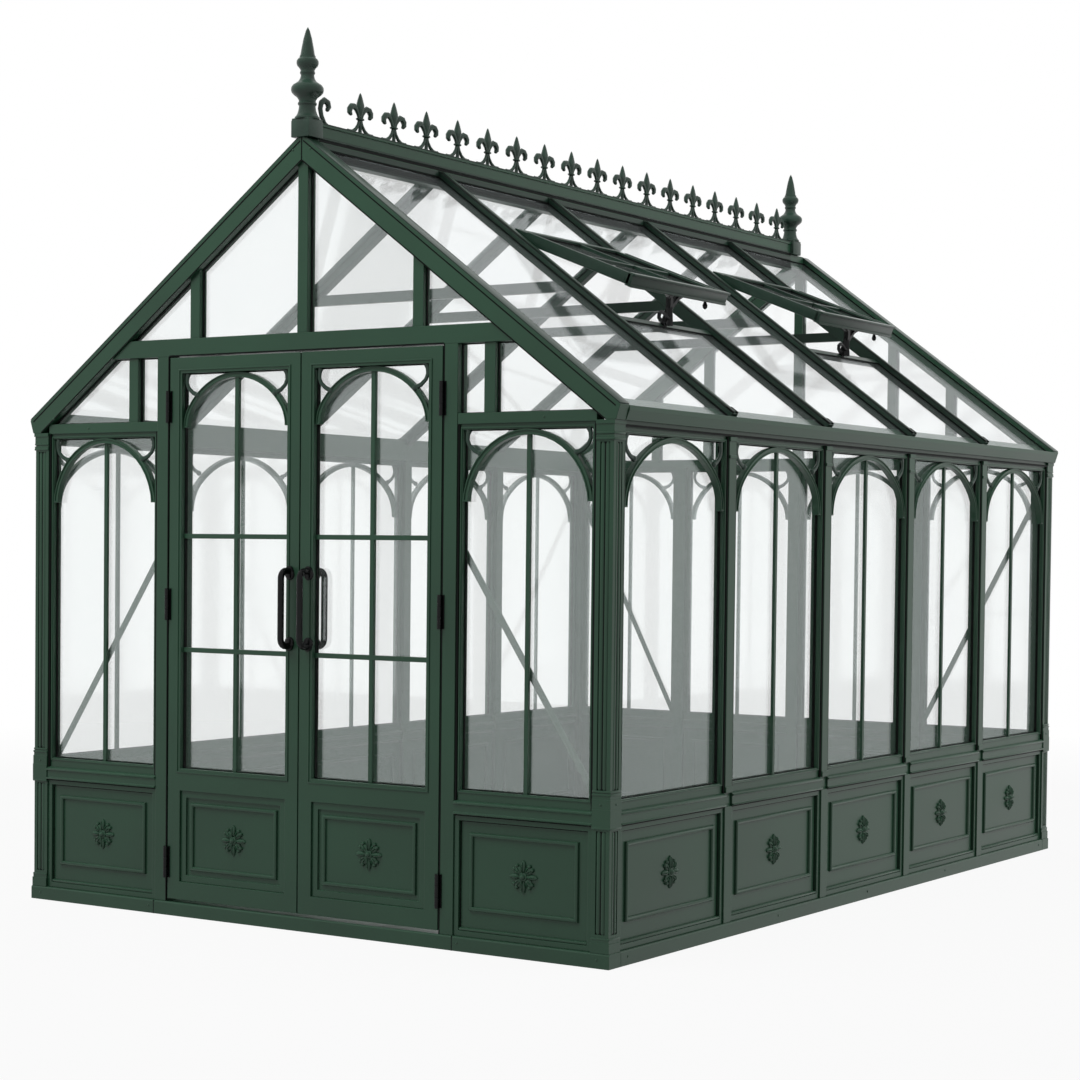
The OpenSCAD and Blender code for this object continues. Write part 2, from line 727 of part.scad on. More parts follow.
// ---- doors: drawn for the right leaf, whose inner edge is at door_gap / 2 ----
leaf_x0 = door_gap / 2;
leaf_mid = leaf_x0 + leaf_w / 2;
module on_leaf(s) {
    on_front() mirror([s < 0 ? 1 : 0, 0, 0]) children();
}
module door_frame() {
    difference() {
        span([leaf_x0, 0, leaf_foot], [leaf_x0 + leaf_w, door_t, leaf_top]);
        span([leaf_x0 + stile_w, -1, panel_foot], [leaf_x0 + leaf_w - stile_w, door_t + 1, panel_top]);
        span([leaf_x0 + stile_w, -1, door_glass_foot],
             [leaf_x0 + leaf_w - stile_w, door_t + 1, door_glass_top]);
    }
}
door_clear = leaf_w - 2 * stile_w;
module door_panel() {
    translate([leaf_mid, 0, 0])
        framed_panel(door_clear, panel_foot, panel_top, 26, 8, door_t - 4, 8, 46);
}
door_bar_z = [door_glass_foot + 452, door_glass_foot + 884];
module door_bars() {
    a = door_clear / 2;
    rise = min(door_arch_rise, a * 0.98);
    bar_front = door_glass_y - 16;
    arch_bar(a, rise, door_glass_top, arch_w, bar_front - 4, door_glass_y);
    span([-door_bar_w / 2, bar_front, door_glass_foot],
         [door_bar_w / 2, door_glass_y, door_glass_top - arch_w / 2]);
    for (z = door_bar_z)
        span([-a, bar_front, z - door_bar_w / 2], [a, door_glass_y, z + door_bar_w / 2]);
}
module door_pane() {
    translate([leaf_mid, 0, 0])
        span([-door_clear / 2, door_glass_y, door_glass_foot],
             [door_clear / 2, door_glass_y + glass_t, door_glass_top]);
}
// A pull of round bar with quarter-turn ends, standing off the face y = 0 towards -Y.
handle_bend = 28;
base_r = 18;
base_t = 8;
module pull() {
    r = handle_d / 2;
    reach = handle_out - handle_bend;
    for (m = [0, 1]) mirror([0, 0, m]) {
        translate([0, -handle_out, 0]) cylinder(h = handle_l / 2 - handle_bend, r = r, $fn = 32);
        translate([0, -reach, handle_l / 2 - handle_bend]) rotate([90, 0, 270])
            rotate_extrude(angle = 90, $fn = 32) translate([handle_bend, 0]) circle(r = r, $fn = 32);
        translate([0, -reach, handle_l / 2]) rotate([-90, 0, 0]) cylinder(h = reach, r = r, $fn = 32);
        translate([0, -base_t, handle_l / 2]) rotate([-90, 0, 0]) cylinder(h = base_t, r = base_r, $fn = 32);
    }
}
module door_handles() {
    translate([handle_x, 0, handle_z]) pull();
    translate([handle_x, door_t, handle_z]) mirror([0, 1, 0]) pull();
}
module door_hinges() {
    for (z = hinge_z) translate([hinge_x, hinge_y, z]) door_leaf_hinge(-1);
}

module left_door_frame() color(paint) on_leaf(-1) door_frame();
module left_door_panel() color(paint) on_leaf(-1) door_panel();
module left_door_bars() color(paint) on_leaf(-1) translate([leaf_mid, 0, 0]) door_bars();
module left_door_glass() color(pane) on_leaf(-1) door_pane();
module left_door_handles() color(iron) on_leaf(-1) door_handles();
module left_door_hinges() color(iron) on_leaf(-1) door_hinges();
module right_door_frame() color(paint) on_leaf(1) door_frame();
module right_door_panel() color(paint) on_leaf(1) door_panel();
module right_door_bars() color(paint) on_leaf(1) translate([leaf_mid, 0, 0]) door_bars();
module right_door_glass() color(pane) on_leaf(1) door_pane();
module right_door_handles() color(iron) on_leaf(1) door_handles();
module right_door_hinges() color(iron) on_leaf(1) door_hinges();

end_plinths();
side_plinths();
corner_posts();
side_wall_posts();
back_wall_posts();
door_jambs();
front_sill_rails();
side_sill_rails();
back_sill_rails();
front_wall_panels();
side_wall_panels();
back_wall_panels();
window_frames();
window_arches();
wall_glass();
eaves_gutters();
gable_transoms();
door_header();
gable_rakes();
gable_posts();
gable_glass();
ridge_beam();
ridge_crest();
finials();
rafters();
left_roof_glass();
right_roof_glass();
roof_ties();
vent_frames();
vent_glass();
vent_openers();
wind_braces();
jamb_hinge_leaves();
left_door_frame();
left_door_panel();
left_door_bars();
left_door_glass();
left_door_handles();
left_door_hinges();
right_door_frame();
right_door_panel();
right_door_bars();
right_door_glass();
right_door_handles();
right_door_hinges();
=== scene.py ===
import json
import math
import bpy
import bmesh
from mathutils import Matrix, Vector


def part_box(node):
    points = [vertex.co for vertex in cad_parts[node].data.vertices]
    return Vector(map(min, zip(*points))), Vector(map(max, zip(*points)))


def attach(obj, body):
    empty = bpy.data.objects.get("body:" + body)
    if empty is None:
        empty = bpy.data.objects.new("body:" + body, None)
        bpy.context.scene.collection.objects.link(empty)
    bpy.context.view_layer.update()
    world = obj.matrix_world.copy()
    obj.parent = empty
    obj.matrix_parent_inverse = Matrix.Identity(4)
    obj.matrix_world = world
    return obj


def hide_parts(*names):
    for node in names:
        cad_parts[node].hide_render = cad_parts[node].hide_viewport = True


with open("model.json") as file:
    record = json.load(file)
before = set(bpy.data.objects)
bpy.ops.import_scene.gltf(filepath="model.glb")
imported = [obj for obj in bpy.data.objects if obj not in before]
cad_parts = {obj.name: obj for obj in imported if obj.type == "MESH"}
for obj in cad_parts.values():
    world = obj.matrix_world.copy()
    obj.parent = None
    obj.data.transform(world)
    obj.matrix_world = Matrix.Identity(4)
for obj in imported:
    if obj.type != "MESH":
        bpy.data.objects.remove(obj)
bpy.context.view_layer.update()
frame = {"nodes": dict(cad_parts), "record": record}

print("frame loaded")

# small helpers for nodes and materials


def hexToLinear(text):
    channels = [int(text[i:i + 2], 16) / 255 for i in (1, 3, 5)]
    return [c / 12.92 if c <= 0.04045 else ((c + 0.055) / 1.055) ** 2.4 for c in channels] + [1.0]


def addNode(tree, kind, values=None, links=None, **settings):
    node = tree.nodes.new(kind)
    for name, value in settings.items():
        setattr(node, name, value)
    for name, value in (values or {}).items():
        node.inputs[name].default_value = value
    for name, socket in (links or {}).items():
        tree.links.new(socket, node.inputs[name])
    return node


def newMaterial(name):
    made = bpy.data.materials.new(name)
    made.use_nodes = True
    made.node_tree.nodes.clear()
    return made, made.node_tree


# Satin powder coat on extruded aluminium: a faint orange peel and slow changes of tone.
powderCoat = {
    "colour": "#284936", "deep": "#1f3b2b", "dustAndTopLight": "#3f5749", "roughness": 0.30, "shine": 0.29,
    "peelMm": 5,        # the real peel is about 1 mm, drawn coarser so that it shows
    "toneMm": 420,      # slow changes of tone along a length
    "bump": 0.06,
}
# Painted cast aluminium: the same paint over a slightly grainy casting, its tone darker in small
# patches.
castPaint = {
    "colour": "#233a2f", "deep": "#121e18", "dustAndTopLight": "#3c5146", "roughness": 0.32, "shine": 0.34,
    "peelMm": 2.5, "toneMm": 45, "bump": 0.16,
}
# The same coat on the roof bars, a little darker.
roofCoat = {
    "colour": "#22362c", "deep": "#16241d", "dustAndTopLight": "#33473c", "roughness": 0.30, "shine": 0.26,
    "peelMm": 5, "toneMm": 300, "bump": 0.07,
}
# Black painted iron: hard gloss over a hammered face, with a soft highlight.
ironPaint = {
    "colour": "#0c0d0e", "deep": "#050607", "dustAndTopLight": "#1c1e1f", "roughness": 0.20, "shine": 0.17,
    "peelMm": 4, "toneMm": 60, "bump": 0.10,
}
# Black rubber for the glazing seals, and the same matt black, with a slight grey bloom, for strips
# of painted shade in seams, joints and flutes and round the panel fields.
sealAndShadeBlack = {
    "colour": "#080c0a", "deep": "#040605", "dustAndTopLight": "#0f1512", "roughness": 0.60, "shine": 0.12,
    "peelMm": 2, "toneMm": 80, "bump": 0.05,
}
# Toughened glass: clear, under a thin pale veil of film and sky. Alpha is the veil's share on each
# of a pane's two surfaces, and the metallic value is how much of that veil is a mirror image.
paneGlass = {"colour": "#f8fefd", "smear": "#eef8f7", "alpha": 0.13, "mirror": 0.85,
             "smearMm": 260, "waveMm": 700}
# The roof's panes carry a thicker veil of film and sky, so they look paler and hide more.
roofPane = {"colour": "#f9feff", "smear": "#eef7f9", "alpha": 0.16, "mirror": 0.80,
            "smearMm": 340, "waveMm": 700}
glassGloss = {"To Min": 0.02, "To Max": 0.10}
glassRipple = {"Strength": 0.03, "Distance": 0.002}


# How the tone noise becomes a mix of paint, and how much lighter tint goes on faces that look up:
# partly dust, partly painted light from above.
toneSpread = {"From Min": 0.25, "From Max": 0.62, "To Min": 0.45, "To Max": 1.0}
dustAndLightSpread = {"From Min": 0.55, "From Max": 1.0, "To Min": 0.0, "To Max": 0.35}
glossSpread = (-0.06, 0.08)      # below and above a finish's roughness


def paintedMaterial(name, finish):
    made, tree = newMaterial(name)
    place = {"Vector": addNode(tree, "ShaderNodeTexCoord").outputs["Object"]}
    tone = addNode(tree, "ShaderNodeTexNoise", {"Scale": 1000 / finish["toneMm"], "Detail": 4.0},
                   place)
    spread = addNode(tree, "ShaderNodeMapRange", toneSpread, {"Value": tone.outputs["Fac"]})
    paint = addNode(tree, "ShaderNodeMix",
                    {6: hexToLinear(finish["deep"]), 7: hexToLinear(finish["colour"])},
                    {0: spread.outputs["Result"]}, data_type="RGBA")
    # Faces that look up lean toward each finish's lighter tint: settled dust, and painted light
    # from above.
    facing = addNode(tree, "ShaderNodeSeparateXYZ", None,
                     {0: addNode(tree, "ShaderNodeNewGeometry").outputs["Normal"]})
    settledAndLit = addNode(tree, "ShaderNodeMapRange", dustAndLightSpread, {"Value": facing.outputs["Z"]})
    dustedAndLit = addNode(tree, "ShaderNodeMix", {7: hexToLinear(finish["dustAndTopLight"])},
                    {0: settledAndLit.outputs["Result"], 6: paint.outputs[2]}, data_type="RGBA")
    peel = addNode(tree, "ShaderNodeTexNoise", {"Scale": 1000 / finish["peelMm"], "Detail": 2.0},
                   place)
    bump = addNode(tree, "ShaderNodeBump", {"Strength": finish["bump"], "Distance": 0.001},
                   {"Height": peel.outputs["Fac"]})
    gloss = addNode(tree, "ShaderNodeMapRange",
                    {"To Min": finish["roughness"] + glossSpread[0],
                     "To Max": finish["roughness"] + glossSpread[1]},
                    {"Value": tone.outputs["Fac"]})
    shader = addNode(tree, "ShaderNodeBsdfPrincipled", {"Specular IOR Level": finish["shine"]},
                     {"Base Color": dustedAndLit.outputs[2], "Roughness": gloss.outputs["Result"],
                      "Normal": bump.outputs["Normal"]})
    addNode(tree, "ShaderNodeOutputMaterial", None, {"Surface": shader.outputs["BSDF"]})
    return made


def glassMaterial(name, finish):
    made, tree = newMaterial(name)
    place = {"Vector": addNode(tree, "ShaderNodeTexCoord").outputs["Object"]}
    film = addNode(tree, "ShaderNodeTexNoise", {"Scale": 1000 / finish["smearMm"], "Detail": 5.0},
                   place)
    tint = addNode(tree, "ShaderNodeMix",
                   {6: hexToLinear(finish["colour"]), 7: hexToLinear(finish["smear"])},
                   {0: film.outputs["Fac"]}, data_type="RGBA")
    gloss = addNode(tree, "ShaderNodeMapRange", glassGloss,
                    {"Value": film.outputs["Fac"]})
    wave = addNode(tree, "ShaderNodeTexNoise", {"Scale": 1000 / finish["waveMm"], "Detail": 1.0},
                   place)
    bump = addNode(tree, "ShaderNodeBump", glassRipple, {"Height": wave.outputs["Fac"]})
    shader = addNode(tree, "ShaderNodeBsdfPrincipled",
                     {"Metallic": finish["mirror"], "Alpha": finish["alpha"]},
                     {"Base Color": tint.outputs[2], "Roughness": gloss.outputs["Result"],
                      "Normal": bump.outputs["Normal"]})
    addNode(tree, "ShaderNodeOutputMaterial", None, {"Surface": shader.outputs["BSDF"]})
    return made


# Each paint with its slot, and whether the parts added in it are shaded smooth.
coated = (paintedMaterial("powderCoatedAluminium", powderCoat), "green_frame", True)
casting = (paintedMaterial("paintedCastAluminium", castPaint), "cast_green", True)
roofing = (paintedMaterial("darkerRoofPowderCoat", roofCoat), "green_frame", True)
ironwork = (paintedMaterial("blackPaintedIron", ironPaint), "black_iron", True)
# The black below covers the glazing seals and also strips of painted shade in gaps and joints.
sealAndShadeFinish = (paintedMaterial("glazingRubberAndPaintedShade", sealAndShadeBlack), "black_iron", False)
bySlot = {finish[1]: finish[0] for finish in (coated, casting, ironwork)}
toughened = glassMaterial("toughenedGlass", paneGlass)
paleRoofGlass = glassMaterial("thickVeilRoofGlass", roofPane)
slotOf = {row["node"]: row["material_slot"] for row in frame["record"]["subparts"]}
print("finishes made")

# mesh helpers

easing = {"edge": 0.0016, "merge": 0.00002, "weld": 0.00001, "flat": math.radians(1),
          "sharp": math.radians(25), "crease": math.radians(42), "steep": 1, "segments": 2}


def easeEdges(shape, edges, offset, segments):
    bmesh.ops.bevel(shape, geom=edges, offset=offset, affect="EDGES", segments=segments,
                    profile=0.5, material=-1, clamp_overlap=True)


def bodyOf(nodeName):
    for body, members in frame["record"]["behaviour"]["bodies"].items():
        if nodeName in members:
            return body
    return "root"


def finishPiece(piece, body, material, replaced=()):
    piece.data.materials.clear()
    piece.data.materials.append(material)
    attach(piece, body)
    if replaced:
        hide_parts(*replaced)


def meshPiece(name, shape):
    mesh = bpy.data.meshes.new(name)
    shape.to_mesh(mesh)
    shape.free()
    piece = bpy.data.objects.new(name, mesh)
    bpy.context.scene.collection.objects.link(piece)
    return piece


def closedPiece(name, shape, body, finish, replaced=()):
    material, slotName, smooth = finish
    bmesh.ops.recalc_face_normals(shape, faces=shape.faces)
    if smooth:
        for face in shape.faces:
            face.smooth = True
        for edge in shape.edges:
            edge.smooth = edge.is_manifold and edge.calc_face_angle(0) < easing["crease"]
    finishPiece(meshPiece(name, shape), body, material, replaced)


# Adds a finished shape to another, turned and moved by a matrix.
def pour(shape, part, matrix=None, keep=False):
    carrier = bpy.data.meshes.new("carrier")
    part.to_mesh(carrier)
    if matrix is not None:
        carrier.transform(matrix)
    shape.from_mesh(carrier)
    bpy.data.meshes.remove(carrier)
    if not keep:
        part.free()


# A CAD node's mesh with its loose triangles merged into whole faces.
def mergedShape(nodeName):
    shape = bmesh.new()
    shape.from_mesh(frame["nodes"][nodeName].data)
    bmesh.ops.remove_doubles(shape, verts=shape.verts, dist=easing["merge"])
    bmesh.ops.dissolve_limit(shape, angle_limit=easing["flat"], verts=shape.verts,
                             edges=shape.edges)
    return shape


def boxOf(points):
    return (Vector([min(p[i] for p in points) for i in range(3)]),
            Vector([max(p[i] for p in points) for i in range(3)]))


# The box of each separate solid in a CAD node.
def solidBoxes(nodeName):
    shape = mergedShape(nodeName)
    boxes = []
    for start in shape.verts:
        if start.tag:
            continue
        start.tag = True
        waiting, points = [start], []
        while waiting:
            vertex = waiting.pop()
            points.append(vertex.co.copy())
            for edge in vertex.link_edges:
                other = edge.other_vert(vertex)
                if not other.tag:
                    other.tag = True
                    waiting.append(other)
        boxes.append(boxOf(points))
    shape.free()
    return sorted(boxes, key=lambda box: [round(c, 4) for c in box[0]])


# What counts as facing a direction, as a broad face, as being on that side, and as on its wall.
flatness = {"facing": 0.99, "broad": 0.05, "beyond": 0.2, "wall": 0.5}


# The outlines of a node's broad flat faces that look along a direction, on that side.
def flatFaces(nodeName, outward):
    shape = mergedShape(nodeName)
    found = []
    for face in shape.faces:
        corners = [v.co.copy() for v in face.verts]
        low, high = boxOf(corners)
        if (face.normal.dot(outward) > flatness["facing"]
                and sorted(high - low)[1] > flatness["broad"]
                and ((low + high) / 2).dot(outward) > flatness["beyond"]):
            found.append(corners)
    shape.free()
    return sorted(found, key=lambda corners: [round(c, 4) for c in boxOf(corners)[0]])


def alongWall(outward):
    return Vector((abs(outward.y), abs(outward.x), 0))


# Where a box's outer plane stands on one wall.
def outerPlane(low, high, outward):
    corner = high if outward.x + outward.y > 0 else low
    return Vector((corner.x if outward.x else 0, corner.y if outward.y else 0, 0))


# Whether a box is thin across one wall and stands on that wall's side of the building.
def liesOn(low, high, outward):
    thin = min(range(2), key=lambda i: high[i] - low[i])
    return bool(outward[thin]) and (low + high).dot(outward) / 2 > flatness["wall"]


# The four corners of a box's face on one wall, at a depth behind its outer face.
def boxFace(low, high, outward, depth=0.0, foot=0.0):
    across = alongWall(outward)
    flat = outerPlane(low, high, outward) - outward * depth
    a, b = low * across, high * across
    lowZ, highZ = Vector((0, 0, low.z + foot)), Vector((0, 0, high.z))
    return [flat + across * a + lowZ, flat + across * b + lowZ,
            flat + across * b + highZ, flat + across * a + highZ]


# A closed frame that follows a flat outline: set in from its edge, of one width, standing off it.
def raiseRing(shape, corners, outward, setIn, width, height, ease=0.0, segments=2):
    ring = bmesh.new()
    face = ring.faces.new([ring.verts.new(c) for c in corners])
    ring.normal_update()
    if face.normal.dot(outward) < 0:
        face.normal_flip()
    if setIn:
        margin = bmesh.ops.inset_region(ring, faces=[face], thickness=setIn,
                                        use_boundary=True, use_even_offset=True)
        bmesh.ops.delete(ring, geom=margin["faces"], context="FACES")
    bmesh.ops.inset_region(ring, faces=[face], thickness=width,
                           use_boundary=True, use_even_offset=True)
    bmesh.ops.delete(ring, geom=[face], context="FACES")
    grown = bmesh.ops.extrude_face_region(ring, geom=ring.faces[:], use_keep_orig=True)
    raised = {g for g in grown["geom"] if isinstance(g, bmesh.types.BMVert)}
    bmesh.ops.translate(ring, verts=list(raised), vec=outward * height)
    bmesh.ops.recalc_face_normals(ring, faces=ring.faces)
    if ease:
        rims = [e for e in ring.edges if e.verts[0] in raised and e.verts[1] in raised
                and e.calc_face_angle(0) > easing["steep"]]
        easeEdges(ring, rims, ease, segments)
    pour(shape, ring)


# A straight block with eased edges, from one corner to the other, turned by a matrix.
def addBlock(shape, low, high, ease=0.0, matrix=None, segments=1):
    low, high = Vector(low), Vector(high)
    block = bmesh.new()
    bmesh.ops.create_cube(block, size=1, matrix=Matrix.Translation((low + high) / 2)
                          @ Matrix.Diagonal((*(high - low), 1)))
    if ease:
        easeEdges(block, block.edges[:], ease, segments)
    pour(shape, block, matrix)


# A bar swept along points that lie in one plane, its radius given at each point.
def sweepBar(shape, points, radii, planeNormal, sides=8, flatten=1.0):
    bar = bmesh.new()
    normal = Vector(planeNormal)
    rings = []
    for index, point in enumerate(points):
        along = (points[min(index + 1, len(points) - 1)] - points[max(index - 1, 0)]).normalized()
        turn = Matrix((normal * flatten, along.cross(normal), along)).transposed().to_4x4()
        made = bmesh.ops.create_circle(bar, cap_ends=False, radius=radii[index], segments=sides,
                                       matrix=Matrix.Translation(point) @ turn)
        rings.append(list(dict.fromkeys(e for v in made["verts"] for e in v.link_edges)))
    for lower, upper in zip(rings, rings[1:]):
        bmesh.ops.bridge_loops(bar, edges=lower + upper)
    for ring in (rings[0], rings[-1]):
        bmesh.ops.edgeloop_fill(bar, edges=ring)
    bmesh.ops.recalc_face_normals(bar, faces=bar.faces)
    pour(shape, bar)


# A turned solid from an outline of (radius, height) points about the Z axis.
def turnedShape(outline, steps):
    turned = bmesh.new()
    verts = [turned.verts.new((radius, 0, height)) for radius, height in outline]
    edges = [turned.edges.new(pair) for pair in zip(verts, verts[1:])]
    bmesh.ops.spin(turned, geom=verts + edges, cent=(0, 0, 0), axis=(0, 0, 1),
                   angle=math.tau, steps=steps, use_merge=True)
    bmesh.ops.remove_doubles(turned, verts=turned.verts, dist=easing["weld"])
    bmesh.ops.holes_fill(turned, edges=[e for e in turned.edges if e.is_boundary], sides=steps)
    bmesh.ops.recalc_face_normals(turned, faces=turned.faces)
    return turned


def ballShape(size, sides, rows):
    ball = bmesh.new()
    bmesh.ops.create_uvsphere(ball, u_segments=sides, v_segments=rows, radius=1,
                              matrix=Matrix.Diagonal((*size, 1)))
    return ball


# Turns a piece drawn facing +Z, with its own up along +Y, to look outward from a wall.
def wallTurn(place, outward):
    up = Vector((0, 0, 1))
    turn = Matrix((up.cross(outward), up, outward)).transposed().to_4x4()
    return Matrix.Translation(place) @ turn


walls = {"front": Vector((0, -1, 0)), "right": Vector((1, 0, 0)),
         "back": Vector((0, 1, 0)), "left": Vector((-1, 0, 0))}
front = walls["front"]
hands = ("left", "right")
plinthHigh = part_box("end_plinths")[1]
plinthOut = 0.008
wallX, wallY = plinthHigh.x - plinthOut, plinthHigh.y - plinthOut    # outer faces of the walls


# One piece, with a part added at each broad outer face of a node on every wall, or on a door.
def trimPiece(name, body, finish, nodeName, add, *settings):
    shape = bmesh.new()
    for outward in walls.values() if body == "root" else [front]:
        for corners in flatFaces(nodeName, outward):
            add(shape, corners, outward, *settings)
    closedPiece(name, shape, body, finish)


# The same on both door leaves.
def doorTrims(ending, finish, nodeEnding, add, *settings):
    for side in hands:
        trimPiece(side + ending, side + "_door", finish, side + nodeEnding, add, *settings)


# coated pieces: the same solids, with their sharp edges eased as a coating leaves them

roofNodes = ("rafters", "roof_ties", "vent_frames")
roofPanes = ("left_roof_glass", "right_roof_glass", "vent_glass")


def softened(nodeName):
    shape = mergedShape(nodeName)
    sharp = [e for e in shape.edges if e.is_manifold and e.calc_face_angle(0) > easing["sharp"]]
    easeEdges(shape, sharp, easing["edge"], easing["segments"])
    slotName = slotOf[nodeName]
    material = roofing[0] if nodeName in roofNodes else bySlot[slotName]
    finishPiece(meshPiece(nodeName + "_coated", shape), bodyOf(nodeName), material,
                [nodeName])


remade = ("finials", "ridge_crest")
for nodeName, node in frame["nodes"].items():
    if slotOf[nodeName] == "glass":
        node.data.materials.clear()
        node.data.materials.append(paleRoofGlass if nodeName in roofPanes else toughened)
    elif nodeName not in remade:
        softened(nodeName)
print("coated pieces made")

# base panels: a half-round moulding over each raised ring, an inner one on the room side

moulding = {"width": 0.015, "height": 0.0100, "round": 0.0066}
wallPanel = {"ringIn": 0.0605, "ringLift": 0.031, "field": 0.012, "border": 0.020,
             "innerIn": 0.055, "innerHeight": 0.009, "innerRound": 0.00396}
doorPanel = {"ringIn": 0.0445, "ringLift": 0.0, "field": 0.008}
panelEdge = {"lineW": 0.0040, "lineH": 0.0015, "ledgeH": 0.011, "ledgeDeep": 0.019, "ease": 0.0045}


def panelRing(shape, low, high, outward, size):
    corners = boxFace(low, high, outward, size["field"], size["ringLift"])
    raiseRing(shape, corners, outward, size["ringIn"], moulding["width"], moulding["height"],
              moulding["round"], 4)
    return sum(corners, Vector()) / 4


# Every base panel, as its wall's direction and its box.
wallPanels = []
for outward in walls.values():
    for nodeName in ("front_wall_panels", "side_wall_panels", "back_wall_panels"):
        wallPanels += [(outward, low, high) for low, high in solidBoxes(nodeName)
                       if liesOn(low, high, outward)]


# A block on a wall: along it, up, and out from a plane, each as a pair of limits.
def wallBlock(shape, outward, plane, along, up, out, ease=0.0, segments=1):
    across = alongWall(outward)
    ends = [across * along[i] + Vector((0, 0, up[i])) + outward * (plane + out[i]) for i in (0, 1)]
    low, high = boxOf(ends)
    addBlock(shape, low, high, ease, None, segments)


# A wall box as limits along the wall, and the distances of its outer and inner planes.
def onWall(low, high, outward):
    across = alongWall(outward)
    planes = sorted((low.dot(outward), high.dot(outward)))
    return (low.dot(across), high.dot(across)), planes[1], planes[0]


mouldings, edgeLines = bmesh.new(), bmesh.new()
rosettePlaces = {"root": []}
for outward, low, high in wallPanels:
    rosettePlaces["root"].append((panelRing(mouldings, low, high, outward, wallPanel), outward))
    field = boxFace(low, high, outward, wallPanel["field"])
    rim = wallPanel["border"]
    # A black line round each sunk field: painted shade along the field's edges.
    raiseRing(edgeLines, field, outward, rim, panelEdge["lineW"], panelEdge["lineH"])
    along, outer = onWall(low, high, outward)[:2]
    wallBlock(mouldings, outward, outer, (along[0] + rim, along[1] - rim),
              (low.z + rim, low.z + rim + panelEdge["ledgeH"]), (-panelEdge["ledgeDeep"], 0.0),
              panelEdge["ease"], 3)
    inner = boxFace(low, high, -outward)
    raiseRing(mouldings, inner, -outward, wallPanel["innerIn"], moulding["width"],
              wallPanel["innerHeight"], wallPanel["innerRound"], 2)
closedPiece("wall_panel_mouldings", mouldings, "root", coated)
closedPiece("panel_shadow_joints", edgeLines, "root", sealAndShadeFinish)
for side in hands:
    low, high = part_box(side + "_door_panel")
    mouldings = bmesh.new()
    centre = panelRing(mouldings, low, high, front, doorPanel)
    rosettePlaces[side + "_door"] = [(centre, front)]
    closedPiece(side + "_door_mouldings", mouldings, side + "_door", coated)
print("panel mouldings made")

# a cast eight-petalled rosette in each panel

rosette = {
    "longPetal": (0.0110, 0.0250, 0.0100), "longAt": 0.0345,     # half sizes, and distance out
    "rib": (0.0034, 0.0240, 0.0150),
    "broadPetal": (0.0160, 0.0190, 0.0085), "broadAt": 0.0300,
    "curl": (0.0080, 0.0080, 0.0100), "curlAt": 0.0450, "curlTurn": math.radians(10),
    "vein": (0.0026, 0.0150, 0.0125), "veinTurn": 0.16, "ribIn": 0.002,
    "boss": (0.0120, 0.0120, 0.0185), "sink": 0.0005,
    "collar": [(0, 0.008), (0.0125, 0.0095), (0.0165, 0.006), (0.0165, -0.001)],
}


def rosetteShape(size):
    flower = bmesh.new()

    def petal(half, out, turn, sides=8, rows=5):
        pour(flower, ballShape(half, sides, rows),
             Matrix.Rotation(turn, 4, "Z") @ Matrix.Translation((0, out, size["sink"])))

    for index in range(4):
        axis = index * math.pi / 2
        petal(size["longPetal"], size["longAt"], axis)
        petal(size["rib"], size["longAt"] - size["ribIn"], axis, 6, 5)
        corner = axis + math.pi / 4
        petal(size["broadPetal"], size["broadAt"], corner)
        for side in (-1, 1):
            petal(size["curl"], size["curlAt"], corner + side * size["curlTurn"], 7, 5)
            petal(size["vein"], size["broadAt"], corner + side * size["veinTurn"], 5, 4)
    pour(flower, turnedShape(size["collar"], 14))
    petal(size["boss"], 0, 0, 12, 7)
    return flower


flower = rosetteShape(rosette)
for body, places in rosettePlaces.items():
    shape = bmesh.new()
    for centre, outward in places:
        pour(shape, flower, wallTurn(centre, outward), keep=True)
    name = "wall_rosettes" if body == "root" else body + "_rosette"
    closedPiece(name, shape, body, coated)
flower.free()
print("rosettes made")

# black rubber seals round every pane, and black strips of painted shade in the seams between posts
# and window frames

seal = {"width": 0.0035, "height": 0.0100, "doorHeight": 0.0150, "ease": 0.0010,
        "seamIn": 0.0002, "seamW": 0.0085, "seamD": 0.0065, "seamEase": 0.0008,
        "roofW": 0.0025, "roofH": 0.0060}

sealsAndShadeStrips = bmesh.new()
for outward in walls.values():
    for corners in flatFaces("wall_glass", outward) + flatFaces("gable_glass", outward):
        raiseRing(sealsAndShadeStrips, corners, outward, 0, seal["width"], seal["height"], seal["ease"], 1)
# Seams between posts and window frames: black strips, part gasket and part painted shade.
for outward in walls.values():
    across = alongWall(outward)
    for low, high in solidBoxes("window_frames"):
        if liesOn(low, high, outward):
            face = boxFace(low, high, outward)
            for edge, inward in ((face[0], across), (face[1], -across)):
                start = edge + inward * seal["seamIn"]
                end = start + inward * seal["seamW"] + outward * seal["seamD"]
                addBlock(sealsAndShadeStrips, *boxOf([start, end + Vector((0, 0, high.z - low.z))]),
                         seal["seamEase"])

# the roof's upper face: its apex, its foot at the gutter's edge, and its pitch
rakeLow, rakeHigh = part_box("gable_rakes")
roofRise = {"apex": 0.010, "foot": 0.050}      # above the rakes' top, and above their lowest point
roofApex = rakeHigh.z + roofRise["apex"]
roofFoot = Vector((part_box("eaves_gutters")[1].x, rakeLow.z + roofRise["foot"]))
roofPitch = math.atan2(roofApex - roofFoot.y, roofFoot.x)


# Down a roof slope, along the ridge, and off the roof: the turn from there to the world.
def slopeTurn(side):
    c, n = math.cos(roofPitch), math.sin(roofPitch)
    return (Matrix.Translation((0, 0, roofApex))
            @ Matrix(((side * c, 0, -n), (0, side, 0), (side * n, 0, c))).transposed().to_4x4())


# a vent flap as it is built: where it starts on the slope and along the ridge, its size and rails
vent = {"top": 0.4515, "sunk": -0.019, "tilt": math.radians(15), "long": 0.570, "wide": 0.739,
        "starts": (-1.1588, 0.4196), "rail": 0.034}


# Down a vent flap, along its width, and off its upper face.
def flapTurn(start):
    return (slopeTurn(1) @ Matrix.Translation((vent["top"], start, vent["sunk"]))
            @ Matrix.Rotation(-vent["tilt"], 4, "Y"))


